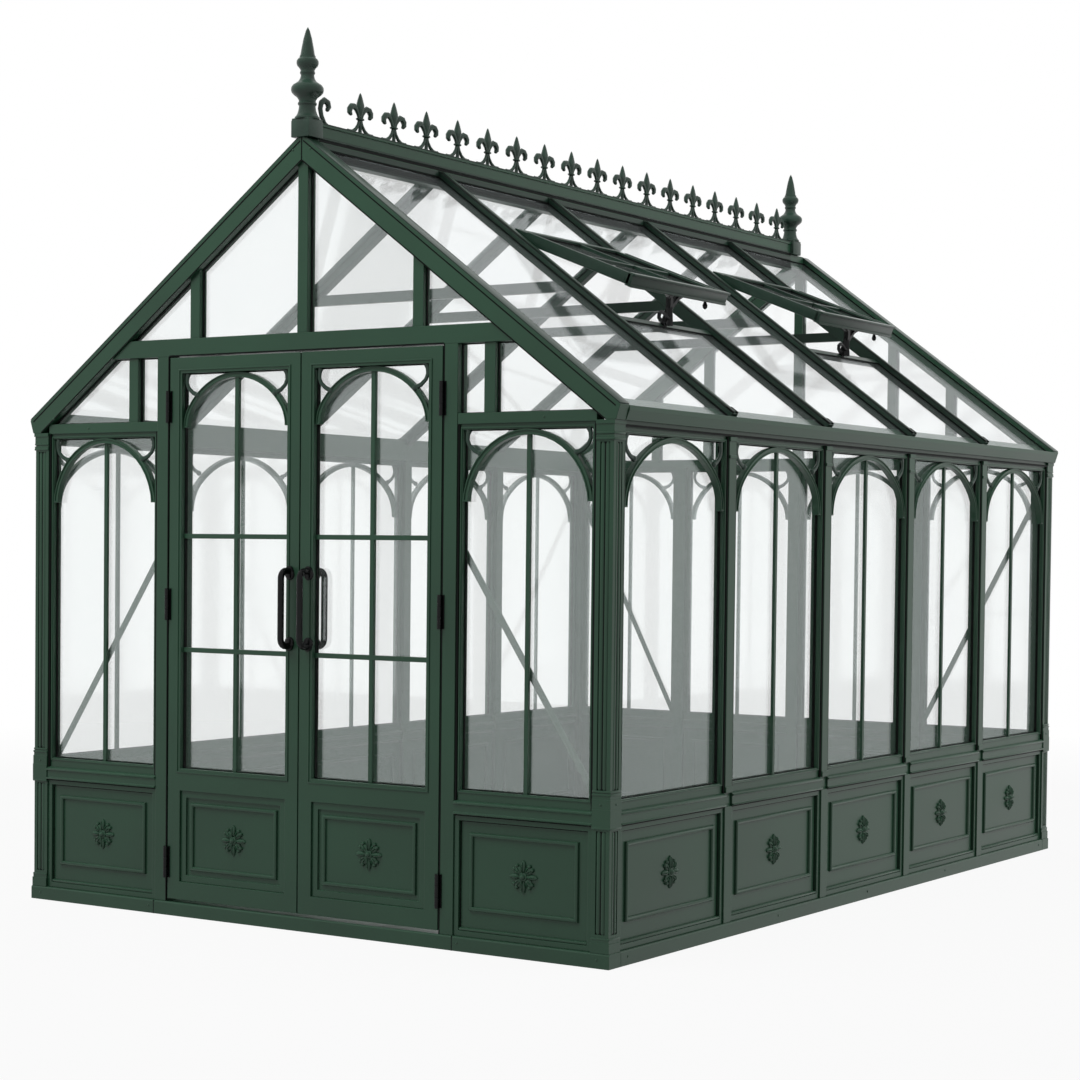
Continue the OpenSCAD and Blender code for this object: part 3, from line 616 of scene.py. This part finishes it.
for nodeName, turn in (("left_roof_glass", slopeTurn(-1)), ("right_roof_glass", slopeTurn(1)),
                       ("vent_glass", flapTurn(0))):
    skyward = turn.to_3x3() @ Vector((0, 0, 1))
    for corners in flatFaces(nodeName, skyward):
        raiseRing(sealsAndShadeStrips, corners, skyward, 0, seal["roofW"], seal["roofH"], seal["ease"], 1)
closedPiece("glazing_seals_and_shade_strips", sealsAndShadeStrips, "root", sealAndShadeFinish)
doorTrims("_door_seal", sealAndShadeFinish, "_door_glass", raiseRing, 0, seal["width"], seal["doorHeight"],
          seal["ease"], 1)
print("seals made")

# beads round the glass: a slim half-round along each window and door opening

bead = {"width": 0.0060, "height": 0.0040, "round": 0.0026,
        "window": (0.0095, 0.024), "door": (0.0160, 0.032)}    # past the glass, and in front of it


def openingRing(shape, corners, outward, beyond, depth):
    low, high = boxOf(corners)
    centre = (low + high) / 2
    across = alongWall(outward)
    wide = [c + across * math.copysign(beyond, (c - centre).dot(across))
            + Vector((0, 0, math.copysign(beyond, c.z - centre.z))) + outward * depth
            for c in corners]
    raiseRing(shape, wide, outward, 0, bead["width"], bead["height"], bead["round"], 2)


trimPiece("window_beads", "root", coated, "wall_glass", openingRing, *bead["window"])
doorTrims("_door_beads", coated, "_door_glass", openingRing, *bead["door"])
print("beads made")

# struts that hook down to every arch and end in a knob, and a fine rim along each arch's edges

strut = {"line": [(0.020, 0.001), (0.014, 0.016), (0.013, 0.036), (0.022, 0.056), (0.042, 0.073),
                  (0.068, 0.084)],      # away from the post, and down from the head
         "radii": [0.0115, 0.0088, 0.0078, 0.0080, 0.0086, 0.0092],
         "knob": 0.0115, "setBack": 0.016, "doorBack": 0.018, "flatten": 0.75}
archRim = {"width": 0.0055, "height": 0.0040, "ease": 0.0024,
           "corners": 40}      # an outline with more corners than this is an arch


def addStruts(shape, corners, outward, setBack):
    low, high = boxOf(corners)
    across = alongWall(outward)
    flat = outerPlane(low, high, outward) + outward * setBack
    for edge, side in ((low.dot(across), 1), (high.dot(across), -1)):
        line = [flat + across * (edge + side * reach) + Vector((0, 0, high.z - drop))
                for reach, drop in strut["line"]]
        sweepBar(shape, line, strut["radii"], outward, 8, strut["flatten"])
        pour(shape, ballShape((strut["knob"],) * 3, 10, 7), Matrix.Translation(line[-1]))


def addRim(shape, corners, outward):
    if len(corners) > archRim["corners"]:
        raiseRing(shape, corners, outward, 0, archRim["width"], archRim["height"],
                  archRim["ease"], 2)


trimPiece("spandrel_struts", "root", casting, "wall_glass", addStruts, strut["setBack"])
trimPiece("arch_rims", "root", coated, "window_arches", addRim)
doorTrims("_door_arch_rim", coated, "_door_bars", addRim)
doorTrims("_door_struts", casting, "_door_glass", addStruts, strut["doorBack"])
print("struts and arch rims made")

# ridge cresting: cast lilies on three legs, and a scroll behind the front finial

lily = {
    "spear": [(0.0055, 0.056), (0.0085, 0.068), (0.0150, 0.084), (0.0195, 0.100), (0.0185, 0.112),
              (0.0125, 0.132), (0.0058, 0.150), (0.0, 0.158)],
    "spearFlat": 0.70, "spearSteps": 8,
    "curl": [(0.007, 0.060), (0.013, 0.077), (0.024, 0.093), (0.039, 0.102), (0.054, 0.099),
             (0.064, 0.088), (0.065, 0.076), (0.058, 0.070)],
    "curlR": [0.0062, 0.0076, 0.0098, 0.0116, 0.0124, 0.0120, 0.0106, 0.0084],
    "leg": [(0.006, 0.054), (0.012, 0.036), (0.027, 0.018), (0.048, 0.007), (0.074, 0.007)],
    "legR": [0.0062, 0.0070, 0.0074, 0.0070, 0.0052],
    "stem": [(0.0, 0.058), (0.0, 0.030), (0.0, -0.002)], "stemR": [0.0060, 0.0066, 0.0084],
    "collar": (0.0130, 0.0225, 0.0066), "collarZ": 0.0585, "flatten": 0.85,
    # half sizes of the ball at each tip, and how far it is lifted
    "curlBall": (0.0072, 0.0072, 0.0066, 0), "legBall": (0.0054, 0.0066, 0.0054, 0.001),
    "firstIn": 0.169,       # the first stands this far behind the first CAD leaf
    "scroll": [(0.010, 0.0), (-0.014, 0.010), (-0.032, 0.034), (-0.040, 0.060), (-0.034, 0.082),
               (-0.016, 0.094), (0.004, 0.088), (0.010, 0.072), (0.002, 0.062)],
    "scrollR": [0.0074, 0.0088, 0.0094, 0.0100, 0.0110, 0.0122, 0.0126, 0.0112, 0.0090],
    "scrollBall": (0.0075, 0.0080, 0.0075), "scrollBehind": 0.055,      # behind the front finial
}


# Points drawn in the ridge's upright plane: along the ridge, and up.
def onRidge(points, side=1):
    return [Vector((0, side * along, up)) for along, up in points]


def lilyShape(size):
    cast = bmesh.new()
    spear = turnedShape(size["spear"], size["spearSteps"])
    pour(cast, spear, Matrix.Diagonal((size["spearFlat"], 1, 1, 1)))
    for side in (-1, 1):
        for part, sides in (("curl", 8), ("leg", 7)):
            line = onRidge(size[part], side)
            sweepBar(cast, line, size[part + "R"], (1, 0, 0), sides, size["flatten"])
            *ball, lift = size[part + "Ball"]
            pour(cast, ballShape(ball, sides, 5),
                 Matrix.Translation(line[-1] + Vector((0, 0, lift))))
    sweepBar(cast, onRidge(size["stem"]), size["stemR"], (1, 0, 0), 7)
    pour(cast, ballShape(size["collar"], 12, 5), Matrix.Translation((0, 0, size["collarZ"])))
    return cast


def ridgeScroll(size):
    cast = bmesh.new()
    sweepBar(cast, onRidge(size["scroll"]), size["scrollR"], (1, 0, 0), 9, size["flatten"])
    tip = size["scroll"][-1]
    pour(cast, ballShape(size["scrollBall"], 8, 6), Matrix.Translation((0, *tip)))
    return cast


crestBoxes = solidBoxes("ridge_crest")
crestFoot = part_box("ridge_crest")[0].z
oneLily = lilyShape(lily)
shape = bmesh.new()
firstY = sum(c.y for c in crestBoxes[0]) / 2 + lily["firstIn"]
lastY = sum(c.y for c in crestBoxes[-1]) / 2
lilyCount = len(crestBoxes) - 1      # the scroll behind the front finial takes the first place
for index in range(lilyCount):
    along = firstY + (lastY - firstY) * index / (lilyCount - 1)
    pour(shape, oneLily, Matrix.Translation((0, along, crestFoot)), keep=True)
oneLily.free()
finialBoxes = sorted(solidBoxes("finials"), key=lambda box: box[0].y)
scrollAt = finialBoxes[0][1].y + lily["scrollBehind"]
pour(shape, ridgeScroll(lily), Matrix.Translation((0, scrollAt, crestFoot)))
closedPiece("ridge_lilies", shape, "root", casting, ["ridge_crest"])
print("cresting made")

# finials: a stepped block, a flared foot, two bulbs and a fluted cone

finial = {
    "turned": [(0, 0.000), (0.0460, 0.000), (0.0465, 0.004), (0.0450, 0.008), (0.0405, 0.012),
               (0.0360, 0.020), (0.0325, 0.032), (0.0305, 0.044), (0.0305, 0.050), (0.0340, 0.053),
               (0.0350, 0.057), (0.0335, 0.061), (0.0310, 0.063), (0.0315, 0.070), (0.0380, 0.080),
               (0.0500, 0.089), (0.0575, 0.097), (0.0600, 0.106), (0.0590, 0.115), (0.0530, 0.124),
               (0.0420, 0.131), (0.0330, 0.138), (0.0270, 0.148), (0.0245, 0.158), (0.0250, 0.163),
               (0.0275, 0.166), (0.0280, 0.170), (0.0262, 0.174), (0.0255, 0.178), (0.0300, 0.186),
               (0.0375, 0.194), (0.0405, 0.203), (0.0400, 0.212), (0.0355, 0.219), (0.0305, 0.222),
               (0.0295, 0.226), (0.0290, 0.230)],
    "cone": [(0.0280, 0.226), (0.0225, 0.258), (0.0155, 0.294), (0.0075, 0.322), (0.0, 0.336)],
    "flutes": 8, "fluteIn": 0.94, "steps": 32, "blockHalf": 0.042, "blockEase": 0.003,
    "capHalf": 0.040, "capH": 0.006, "capSink": 0.002, "capRise": 0.001, "capEase": 0.0015,
}


def finialShape(size, low, high):
    cast = bmesh.new()
    half, capHalf = size["blockHalf"], size["capHalf"]
    blockTop = high.z - size["cone"][-1][1]
    capFoot = blockTop - size["capH"]
    addBlock(cast, (-half, -half, low.z), (half, half, capFoot), size["blockEase"], None, 2)
    addBlock(cast, (-capHalf, -capHalf, capFoot - size["capSink"]),
             (capHalf, capHalf, blockTop + size["capRise"]), size["capEase"], None, 2)
    lift = Matrix.Translation((0, 0, blockTop))
    pour(cast, turnedShape(size["turned"], size["steps"]), lift)
    cone = turnedShape(size["cone"], size["flutes"] * 2)
    # every other line of the cone stands a little proud, which leaves shallow flutes
    for vertex in cone.verts:
        turn = math.atan2(vertex.co.y, vertex.co.x) / math.tau * size["flutes"] * 2
        if round(turn) % 2:
            vertex.co.x *= size["fluteIn"]
            vertex.co.y *= size["fluteIn"]
    pour(cast, cone, lift)
    return cast


shape = bmesh.new()
for low, high in finialBoxes:
    pour(shape, finialShape(finial, low, high), Matrix.Translation((0, (low.y + high.y) / 2, 0)))
closedPiece("turned_finials", shape, "root", casting, ["finials"])
print("finials made")

# roof trim: caps, and black strips of painted shade in the joints along the rafters, rakes and
# ridge

roofTrim = {
    "run": (0.044, 1.672), "sink": 0.001,          # down the slope from the apex
    "cap": (0.0105, 0.0050, 0.0018),               # half width, height, easing
    "joint": (0.0205, 0.0022),                     # reach from the rafter's middle, height
    "foot": (-0.030, 0.006, 0.003, 0.006, 0.001),  # by the run's end: from, to, down, up, easing
    "rakeRun": (0.022, 1.698), "rakeCap": (0.062, 0.0045, 0.002),      # width, height, easing
    "rakeLines": ((0.012, 0.0045, 0.020, 1.690), (0.0715, 0.0045, 0.056, 1.682)),
    "lineOut": 0.0010,                             # the lines above: depth, width, from, to
    "apexHalf": 0.002, "apexOut": 0.0012, "apexDeep": 0.093,
}
# strips along the ridge board: reach from its middle, foot and top from its own top, easing
ridgeTrim = {
    "from": 0.0245, "intoFinial": 0.02,
    "caps": ((0.0325, -0.0035, 0.0010, 0.0015), (0.0290, -0.058, -0.050, 0.0018),
             (0.0280, -0.092, -0.072, 0.0018)),
    "joints": ((0.0262, -0.068, -0.058, 0), (0.0262, -0.129, -0.092, 0)),
}
caps, joints = bmesh.new(), bmesh.new()
sink, (start, stop) = roofTrim["sink"], roofTrim["run"]
for low, high in solidBoxes("rafters"):
    side = 1 if high.x + low.x > 0 else -1
    mid = side * (low.y + high.y) / 2
    turn = slopeTurn(side)
    half, top, ease = roofTrim["cap"]
    addBlock(caps, (start, mid - half, -sink), (stop, mid + half, top), ease, turn, 2)
    # Black strips beside each rafter's cap and at its foot: painted shade in the gaps.
    reach, jointTop = roofTrim["joint"]
    near, far, footDown, footTop, ease = roofTrim["foot"]
    for edge in (-1, 1):
        a, b = sorted((mid + edge * half, mid + edge * reach))
        addBlock(joints, (start, a, -sink), (stop, b, jointTop), 0, turn)
        addBlock(joints, (stop + near, a, -footDown), (stop + far, b, footTop), ease, turn)
start, stop = roofTrim["rakeRun"]
for side in (-1, 1):
    turn = slopeTurn(side)
    width, top, ease = roofTrim["rakeCap"]
    for end in (-side, side):
        outer = end * rakeHigh.y
        a, b = sorted((outer, outer - end * width))
        addBlock(caps, (start, a, -sink), (stop, b, top), ease, turn, 2)
        # Black lines along each rake: painted shade in the steps of its face.
        a, b = sorted((outer, outer + end * roofTrim["lineOut"]))
        for depth, deep, lineFrom, lineTo in roofTrim["rakeLines"]:
            addBlock(joints, (lineFrom, a, -depth - deep), (lineTo, b, -depth), 0, turn)
# A black line down the apex: painted shade where the rakes meet.
for end in (-1, 1):
    a, b = sorted((end * rakeHigh.y, end * (rakeHigh.y + roofTrim["apexOut"])))
    addBlock(joints, (-roofTrim["apexHalf"], a, roofApex - roofTrim["apexDeep"]),
             (roofTrim["apexHalf"], b, rakeHigh.z))
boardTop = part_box("ridge_beam")[1].z
boardFrom = finialBoxes[0][1].y - ridgeTrim["intoFinial"]
boardTo = finialBoxes[1][0].y + ridgeTrim["intoFinial"]
# Caps along the ridge board, and black strips of painted shade beneath it.
for side in (-1, 1):
    for shape, strips in ((caps, ridgeTrim["caps"]), (joints, ridgeTrim["joints"])):
        for reach, foot, top, ease in strips:
            a, b = sorted((side * ridgeTrim["from"], side * reach))
            addBlock(shape, (a, boardFrom, boardTop + foot), (b, boardTo, boardTop + top), ease)

# the vent flaps: a deep moulded edge on three sides, and thin glazing bars
flapTrim = {
    # past the flap's lower edge from and to, past each side, foot, top, easing
    "edges": ((-0.020, 0.006, 0.003, -0.020, 0.032, 0.0030),
              (-0.006, 0.014, 0.005, 0.023, 0.033, 0.0028),
              (-0.006, 0.011, 0.002, -0.021, -0.011, 0.0028)),
    # from, short of the lower edge, past the side, in from it, foot, top, easing
    "sides": (0.060, 0.004, 0.003, 0.014, -0.015, 0.030, 0.003),
    "bars": (0.006, 0.006, 0.023, 0.002),      # half width, foot, top, easing
    "crossAt": 0.30, "crossDown": 0.001,       # metres down the flap, and below the other bar
    "alongAt": 0.58,                           # share of the flap's width
}
flaps = bmesh.new()
long, wide, rail = vent["long"], vent["wide"], vent["rail"]
for flapStart in vent["starts"]:
    turn = flapTurn(flapStart)
    for near, far, beyond, foot, top, ease in flapTrim["edges"]:
        addBlock(flaps, (long + near, -beyond, foot), (long + far, wide + beyond, top),
                 ease, turn, 2)
    start, short, out, inside, foot, top, ease = flapTrim["sides"]
    for a, b in ((-out, inside), (wide - inside, wide + out)):
        addBlock(flaps, (start, a, foot), (long - short, b, top), ease, turn, 2)
    half, foot, top, ease = flapTrim["bars"]
    mid, cross = wide * flapTrim["alongAt"], flapTrim["crossAt"]
    addBlock(flaps, (rail, mid - half, foot), (long - rail, mid + half, top), ease, turn)
    addBlock(flaps, (cross - half, rail, foot),
             (cross + half, wide - rail, top - flapTrim["crossDown"]), ease, turn)
closedPiece("vent_flap_edges", flaps, "root", roofing)
closedPiece("roof_caps", caps, "root", roofing)
closedPiece("roof_shadow_joints", joints, "root", sealAndShadeFinish)
print("roof trim made")

# wall trim: reeds in the corner posts over black flute floors of painted shade, beads on the sills,
# black joint strips of painted shade, and screw heads

wallTrim = {
    "cornerW": 0.070, "fluteHalf": 0.0185, "groundIn": (0.0042, 0.0030),
    # radius, to either side of the post's middle, in from its face, flatness, taper at each end
    "reed": (0.0080, 0.0096, 0.0042, 0.52, 0.008),
    "runs": ((0.114, 0.464), (0.602, 1.776)),     # the flutes' heights
    "rings": ((0.100, 0.0035), (0.474, 0.0055), (0.588, 0.0045), (0.598, 0.0030), (1.786, 0.0045),
              (1.806, 0.0035)),                   # heights, and how far each stands out
    "ringHalf": 0.0042, "ringEase": 0.0026,
}
reeds, fluteGrounds = bmesh.new(), bmesh.new()
for sx in (-1, 1):
    for sy in (-1, 1):
        corner = Vector((sx * wallX, sy * wallY, 0))
        for inward, sunk in ((Vector((-sx, 0, 0)), Vector((0, -sy, 0))),
                             (Vector((0, -sy, 0)), Vector((-sx, 0, 0)))):
            middle = corner + inward * (wallTrim["cornerW"] / 2)
            half, (deep, shallow) = inward * wallTrim["fluteHalf"], wallTrim["groundIn"]
            radius, step, reedIn, flatten, end = wallTrim["reed"]
            for foot, top in wallTrim["runs"]:
                near = middle - half + sunk * deep + Vector((0, 0, foot))
                far = middle + half + sunk * shallow + Vector((0, 0, top))
                # A black floor in each flute: painted shade, which shows as black lines between the
                # reeds.
                addBlock(fluteGrounds, *boxOf([near, far]))
                for place in (middle - inward * step, middle + inward * step):
                    sweepBar(reeds, [place + sunk * reedIn + Vector((0, 0, z))
                                     for z in (foot, foot + end, top - end, top)],
                             [radius / 2, radius, radius, radius / 2], sunk, 12, flatten)
        half = wallTrim["ringHalf"]
        for z, out in wallTrim["rings"]:
            x = sorted((sx * (wallX + out), sx * (wallX - wallTrim["cornerW"])))
            y = sorted((sy * (wallY + out), sy * (wallY - wallTrim["cornerW"])))
            addBlock(reeds, (x[0], y[0], z - half), (x[1], y[1], z + half),
                     wallTrim["ringEase"], None, 3)
closedPiece("corner_reeds", reeds, "root", coated)
closedPiece("flute_grounds", fluteGrounds, "root", sealAndShadeFinish)

# on a rail's outer and inner face: the beads' limits from its top and from its foot, out, easing
sillTrim = {
    "beads": (((-0.0125, -0.0065), (0.002, 0.008), 0.0022, 0.0019),
              ((-0.0120, -0.0040), (0.002, 0.009), 0.0020, 0.0024)),
    "beadSink": 0.004, "joint": (-0.0030, -0.0005), "jointDepth": (-0.012, -0.0045),
}
jointTrim = {
    "depth": (-0.004, 0.0008), "doorHalf": 0.640, "jambW": 0.0045, "headH": 0.005,
    "plinthAt": 0.700, "plinthW": 0.003, "plinthDepth": (-0.004, 0.0006),
    "eaves": (1.8295, 1.8375), "eavesDepth": (-0.006, 0.0008),
}
# Black strips under the sills, round the door, between plinth sections and under the gutter:
# painted shade in the gaps of these joints.
sills, paintedShadeJoints = bmesh.new(), bmesh.new()
for nodeName in ("front_sill_rails", "side_sill_rails", "back_sill_rails"):
    for low, high in solidBoxes(nodeName):
        for outward in walls.values():
            if not liesOn(low, high, outward):
                continue
            along, outer, inner = onWall(low, high, outward)
            for plane, (nearTop, nearFoot, out, ease) in zip((outer, inner), sillTrim["beads"]):
                for z, (foot, top) in ((high.z, nearTop), (low.z, nearFoot)):
                    wallBlock(sills, outward, plane, along, (z + foot, z + top),
                              (-sillTrim["beadSink"], out), ease, 2)
            wallBlock(paintedShadeJoints, outward, outer, along,
                      [low.z + edge for edge in sillTrim["joint"]], sillTrim["jointDepth"])
closedPiece("sill_beads", sills, "root", coated)
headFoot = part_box("door_header")[0].z
doorHalf = jointTrim["doorHalf"]
wallBlock(paintedShadeJoints, front, wallY, (-doorHalf, doorHalf),
          (headFoot, headFoot + jointTrim["headH"]), jointTrim["depth"])
for side in (-1, 1):
    across = sorted((side * doorHalf, side * (doorHalf + jointTrim["jambW"])))
    wallBlock(paintedShadeJoints, front, wallY, across, (plinthHigh.z, headFoot), jointTrim["depth"])
for end in ("front", "back"):
    for side in (-1, 1):
        joint = side * jointTrim["plinthAt"]
        wallBlock(paintedShadeJoints, walls[end], plinthHigh.y, (joint, joint + jointTrim["plinthW"]),
                  (0, plinthHigh.z), jointTrim["plinthDepth"])
eavesHalf = wallY - wallTrim["cornerW"]
for side in hands:
    wallBlock(paintedShadeJoints, walls[side], wallX, (-eavesHalf, eavesHalf), jointTrim["eaves"],
              jointTrim["eavesDepth"])
closedPiece("shadow_joints", paintedShadeJoints, "root", sealAndShadeFinish)

# screw heads: along the wall from its middle, up, and out from the wall's face
screwTrim = {
    "head": [(0, 0.0024), (0.0028, 0.0021), (0.0046, 0.0010), (0.0052, -0.0010)],
    "ends": ((0.724, 0.030, plinthOut), (1.300, 0.030, plinthOut), (1.307, 0.555, 0.004),
             (1.240, 1.905, 0.006), (0.040, 2.858, 0.006), (0.660, 1.865, -0.002),
             (1.060, 1.865, -0.002)),
    "sides": ((1.982, 0.555, 0.004), (1.900, 0.030, plinthOut), (0.789, 0.030, plinthOut),
              (0.0, 0.030, plinthOut)),
}
screw = turnedShape(screwTrim["head"], 10)
screws = bmesh.new()
for names, face, places in ((("front", "back"), wallY, screwTrim["ends"]),
                            (hands, wallX, screwTrim["sides"])):
    for outward in [walls[name] for name in names]:
        for along, up, out in places:
            for side in (-1, 1):
                place = alongWall(outward) * side * along + outward * (face + out)
                pour(screws, screw, wallTurn(place + Vector((0, 0, up)), outward), keep=True)
screw.free()
closedPiece("screw_heads", screws, "root", coated)
print("wall trim made")

# handle collars, and the cast scrolls of the vent openers

handleTrim = {"collar": [(0, 0.010), (0.0150, 0.0095), (0.0195, 0.0065), (0.0215, 0.0025),
                         (0.0215, -0.0010)],
              "fromEnd": 0.030, "doorThick": 0.040}
for side in hands:
    handles = bmesh.new()
    low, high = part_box(side + "_door_handles")
    collar = turnedShape(handleTrim["collar"], 16)
    for up in (low.z + handleTrim["fromEnd"], high.z - handleTrim["fromEnd"]):
        for plane, facing in ((-wallY, front), (handleTrim["doorThick"] - wallY, walls["back"])):
            place = Vector(((low.x + high.x) / 2, plane, up))
            pour(handles, collar, wallTurn(place, facing), keep=True)
    collar.free()
    closedPiece(side + "_handle_collars", handles, side + "_door", ironwork)

# paths are along the ridge from the opener's middle, and up from its foot
scroll = {"middles": (-0.7892, 0.7892),
          "left": [(0.004, 0.030), (-0.022, 0.036), (-0.046, 0.050), (-0.066, 0.052),
                   (-0.080, 0.042), (-0.082, 0.028), (-0.070, 0.020)],
          "leftR": [0.0080, 0.0085, 0.0078, 0.0076, 0.0080, 0.0078, 0.0070],
          "right": [(0.0, 0.060), (0.016, 0.084), (0.038, 0.104), (0.060, 0.116), (0.078, 0.118)],
          "rightR": [0.0100, 0.0088, 0.0078, 0.0070, 0.0060],
          "stem": [(0, 0.004), (0.002, 0.035), (-0.002, 0.070), (0, 0.100)],
          "stemR": [0.0150, 0.0120, 0.0135, 0.0110], "ball": (0.009, 0.009, 0.009),
          "dropAt": (0.270, 0.116), "dropOut": 0.006,
          "drop": [(0, -0.026), (0.0085, -0.020), (0.0105, -0.010), (0.0060, 0.002),
                   (0.0035, 0.014), (0.0035, 0.022)]}
openerLow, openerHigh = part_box("vent_openers")
openerX = (openerLow.x + openerHigh.x) / 2


def openerPath(points, middle):
    return [Vector((openerX, middle + along, openerLow.z + up)) for along, up in points]


scrolls = bmesh.new()
for middle in scroll["middles"]:
    for branch in ("left", "right", "stem"):
        sweepBar(scrolls, openerPath(scroll[branch], middle), scroll[branch + "R"], (1, 0, 0), 8)
    tip, dropAt = openerPath((scroll["left"][-1], scroll["dropAt"]), middle)
    pour(scrolls, ballShape(scroll["ball"], 8, 6), Matrix.Translation(tip))
    pour(scrolls, turnedShape(scroll["drop"], 10),
         Matrix.Translation(dropAt + Vector((scroll["dropOut"], 0, 0))))
closedPiece("opener_scrolls", scrolls, "root", ironwork)
print("ironwork made")

# floor, light and camera

studio = {"floor": "#a4a4a4", "floorHalf": 60, "sky": "#ffffff", "skyStrength": 0.24,
          "glow": 0.93, "fadeFrom": 5.0, "fadeTo": 9.0}     # the fade is metres from the middle
# place, aim, size in metres, and watts
lamps = {"keyLamp": ((-1.8, -5.4, 7.4), (0, -1.5, 1.6), 5.0, 480),
         "sideLamp": ((6.0, 2.2, 6.4), (1.0, 1.0, 0.8), 4.5, 300),
         "fillLamp": ((-6.5, 5.5, 5.5), (0, 0.6, 1.2), 4.5, 300)}


# One for rays that show the surroundings: straight to the viewpoint, mirrored, or through glass.
def seenRays(tree):
    path = addNode(tree, "ShaderNodeLightPath")
    seen = path.outputs["Is Camera Ray"]
    for kind in ("Is Glossy Ray", "Is Transmission Ray"):
        seen = addNode(tree, "ShaderNodeMath", None, {0: seen, 1: path.outputs[kind]},
                       operation="MAXIMUM").outputs[0]
    return seen


# A white floor that keeps a soft shadow near the building and fades into the backdrop further out.
def makeFloor():
    shape = bmesh.new()
    bmesh.ops.create_grid(shape, x_segments=1, y_segments=1, size=studio["floorHalf"])
    floor = meshPiece("studioFloor", shape)
    made, tree = newMaterial("paleFloor")
    matt = addNode(tree, "ShaderNodeBsdfDiffuse", {"Color": hexToLinear(studio["floor"])})
    white = addNode(tree, "ShaderNodeEmission",
                    {"Color": hexToLinear(studio["sky"]), "Strength": 1.0})
    place = addNode(tree, "ShaderNodeTexCoord")
    away = addNode(tree, "ShaderNodeVectorMath", None, {0: place.outputs["Object"]},
                   operation="LENGTH")
    glow = addNode(tree, "ShaderNodeMapRange",
                   {"From Min": studio["fadeFrom"], "From Max": studio["fadeTo"],
                    "To Min": studio["glow"], "To Max": 1.0}, {"Value": away.outputs["Value"]})
    share = addNode(tree, "ShaderNodeMath", None, {0: seenRays(tree), 1: glow.outputs["Result"]},
                    operation="MULTIPLY")
    both = addNode(tree, "ShaderNodeMixShader", None,
                   {0: share.outputs[0], 1: matt.outputs[0], 2: white.outputs[0]})
    addNode(tree, "ShaderNodeOutputMaterial", None, {"Surface": both.outputs[0]})
    floor.data.materials.append(made)


def makeWorld():
    world = bpy.data.worlds.new("studioSky")
    bpy.context.scene.world = world
    world.use_nodes = True
    tree = world.node_tree
    tree.nodes.clear()
    strength = addNode(tree, "ShaderNodeMapRange", {"To Min": studio["skyStrength"], "To Max": 1.0},
                       {"Value": seenRays(tree)})
    sky = addNode(tree, "ShaderNodeBackground", {"Color": hexToLinear(studio["sky"])},
                  {"Strength": strength.outputs["Result"]})
    addNode(tree, "ShaderNodeOutputWorld", None, {"Surface": sky.outputs[0]})


def areaLamp(name, place, aim, size, watts):
    lamp = bpy.data.lights.new(name, "AREA")
    lamp.size = size
    lamp.energy = watts
    holder = bpy.data.objects.new(name, lamp)
    holder.location = place
    holder.rotation_euler = (Vector(aim) - Vector(place)).to_track_quat("-Z", "Y").to_euler()
    holder.visible_glossy = False    # or panes show it as a hard-edged white square
    bpy.context.scene.collection.objects.link(holder)


# Position, turn, downward pitch and roll of the viewpoint, in metres and degrees.
view = {"place": (5.423, -8.7206, 1.4144), "turn": 33.0957, "pitch": 1.7509, "roll": 0.6177,
        "lens": 78.08, "sensor": 36, "rise": 0.0744}


def makeCamera():
    lens = bpy.data.cameras.new("viewpoint")
    lens.lens = view["lens"]
    lens.sensor_width = view["sensor"]
    lens.shift_y = view["rise"]
    holder = bpy.data.objects.new("viewpoint", lens)
    turned = (Matrix.Rotation(math.radians(view["turn"]), 4, "Z")
              @ Matrix.Rotation(math.radians(90 - view["pitch"]), 4, "X")
              @ Matrix.Rotation(math.radians(view["roll"]), 4, "Z"))
    holder.matrix_world = Matrix.Translation(view["place"]) @ turned
    bpy.context.scene.collection.objects.link(holder)
    bpy.context.scene.camera = holder


makeFloor()
makeWorld()
for name, settings in lamps.items():
    areaLamp(name, *settings)
makeCamera()
bpy.context.scene.view_settings.view_transform = "Standard"
bpy.context.scene.cycles.transparent_max_bounces = 32    # panes seen through panes
print("studio made")
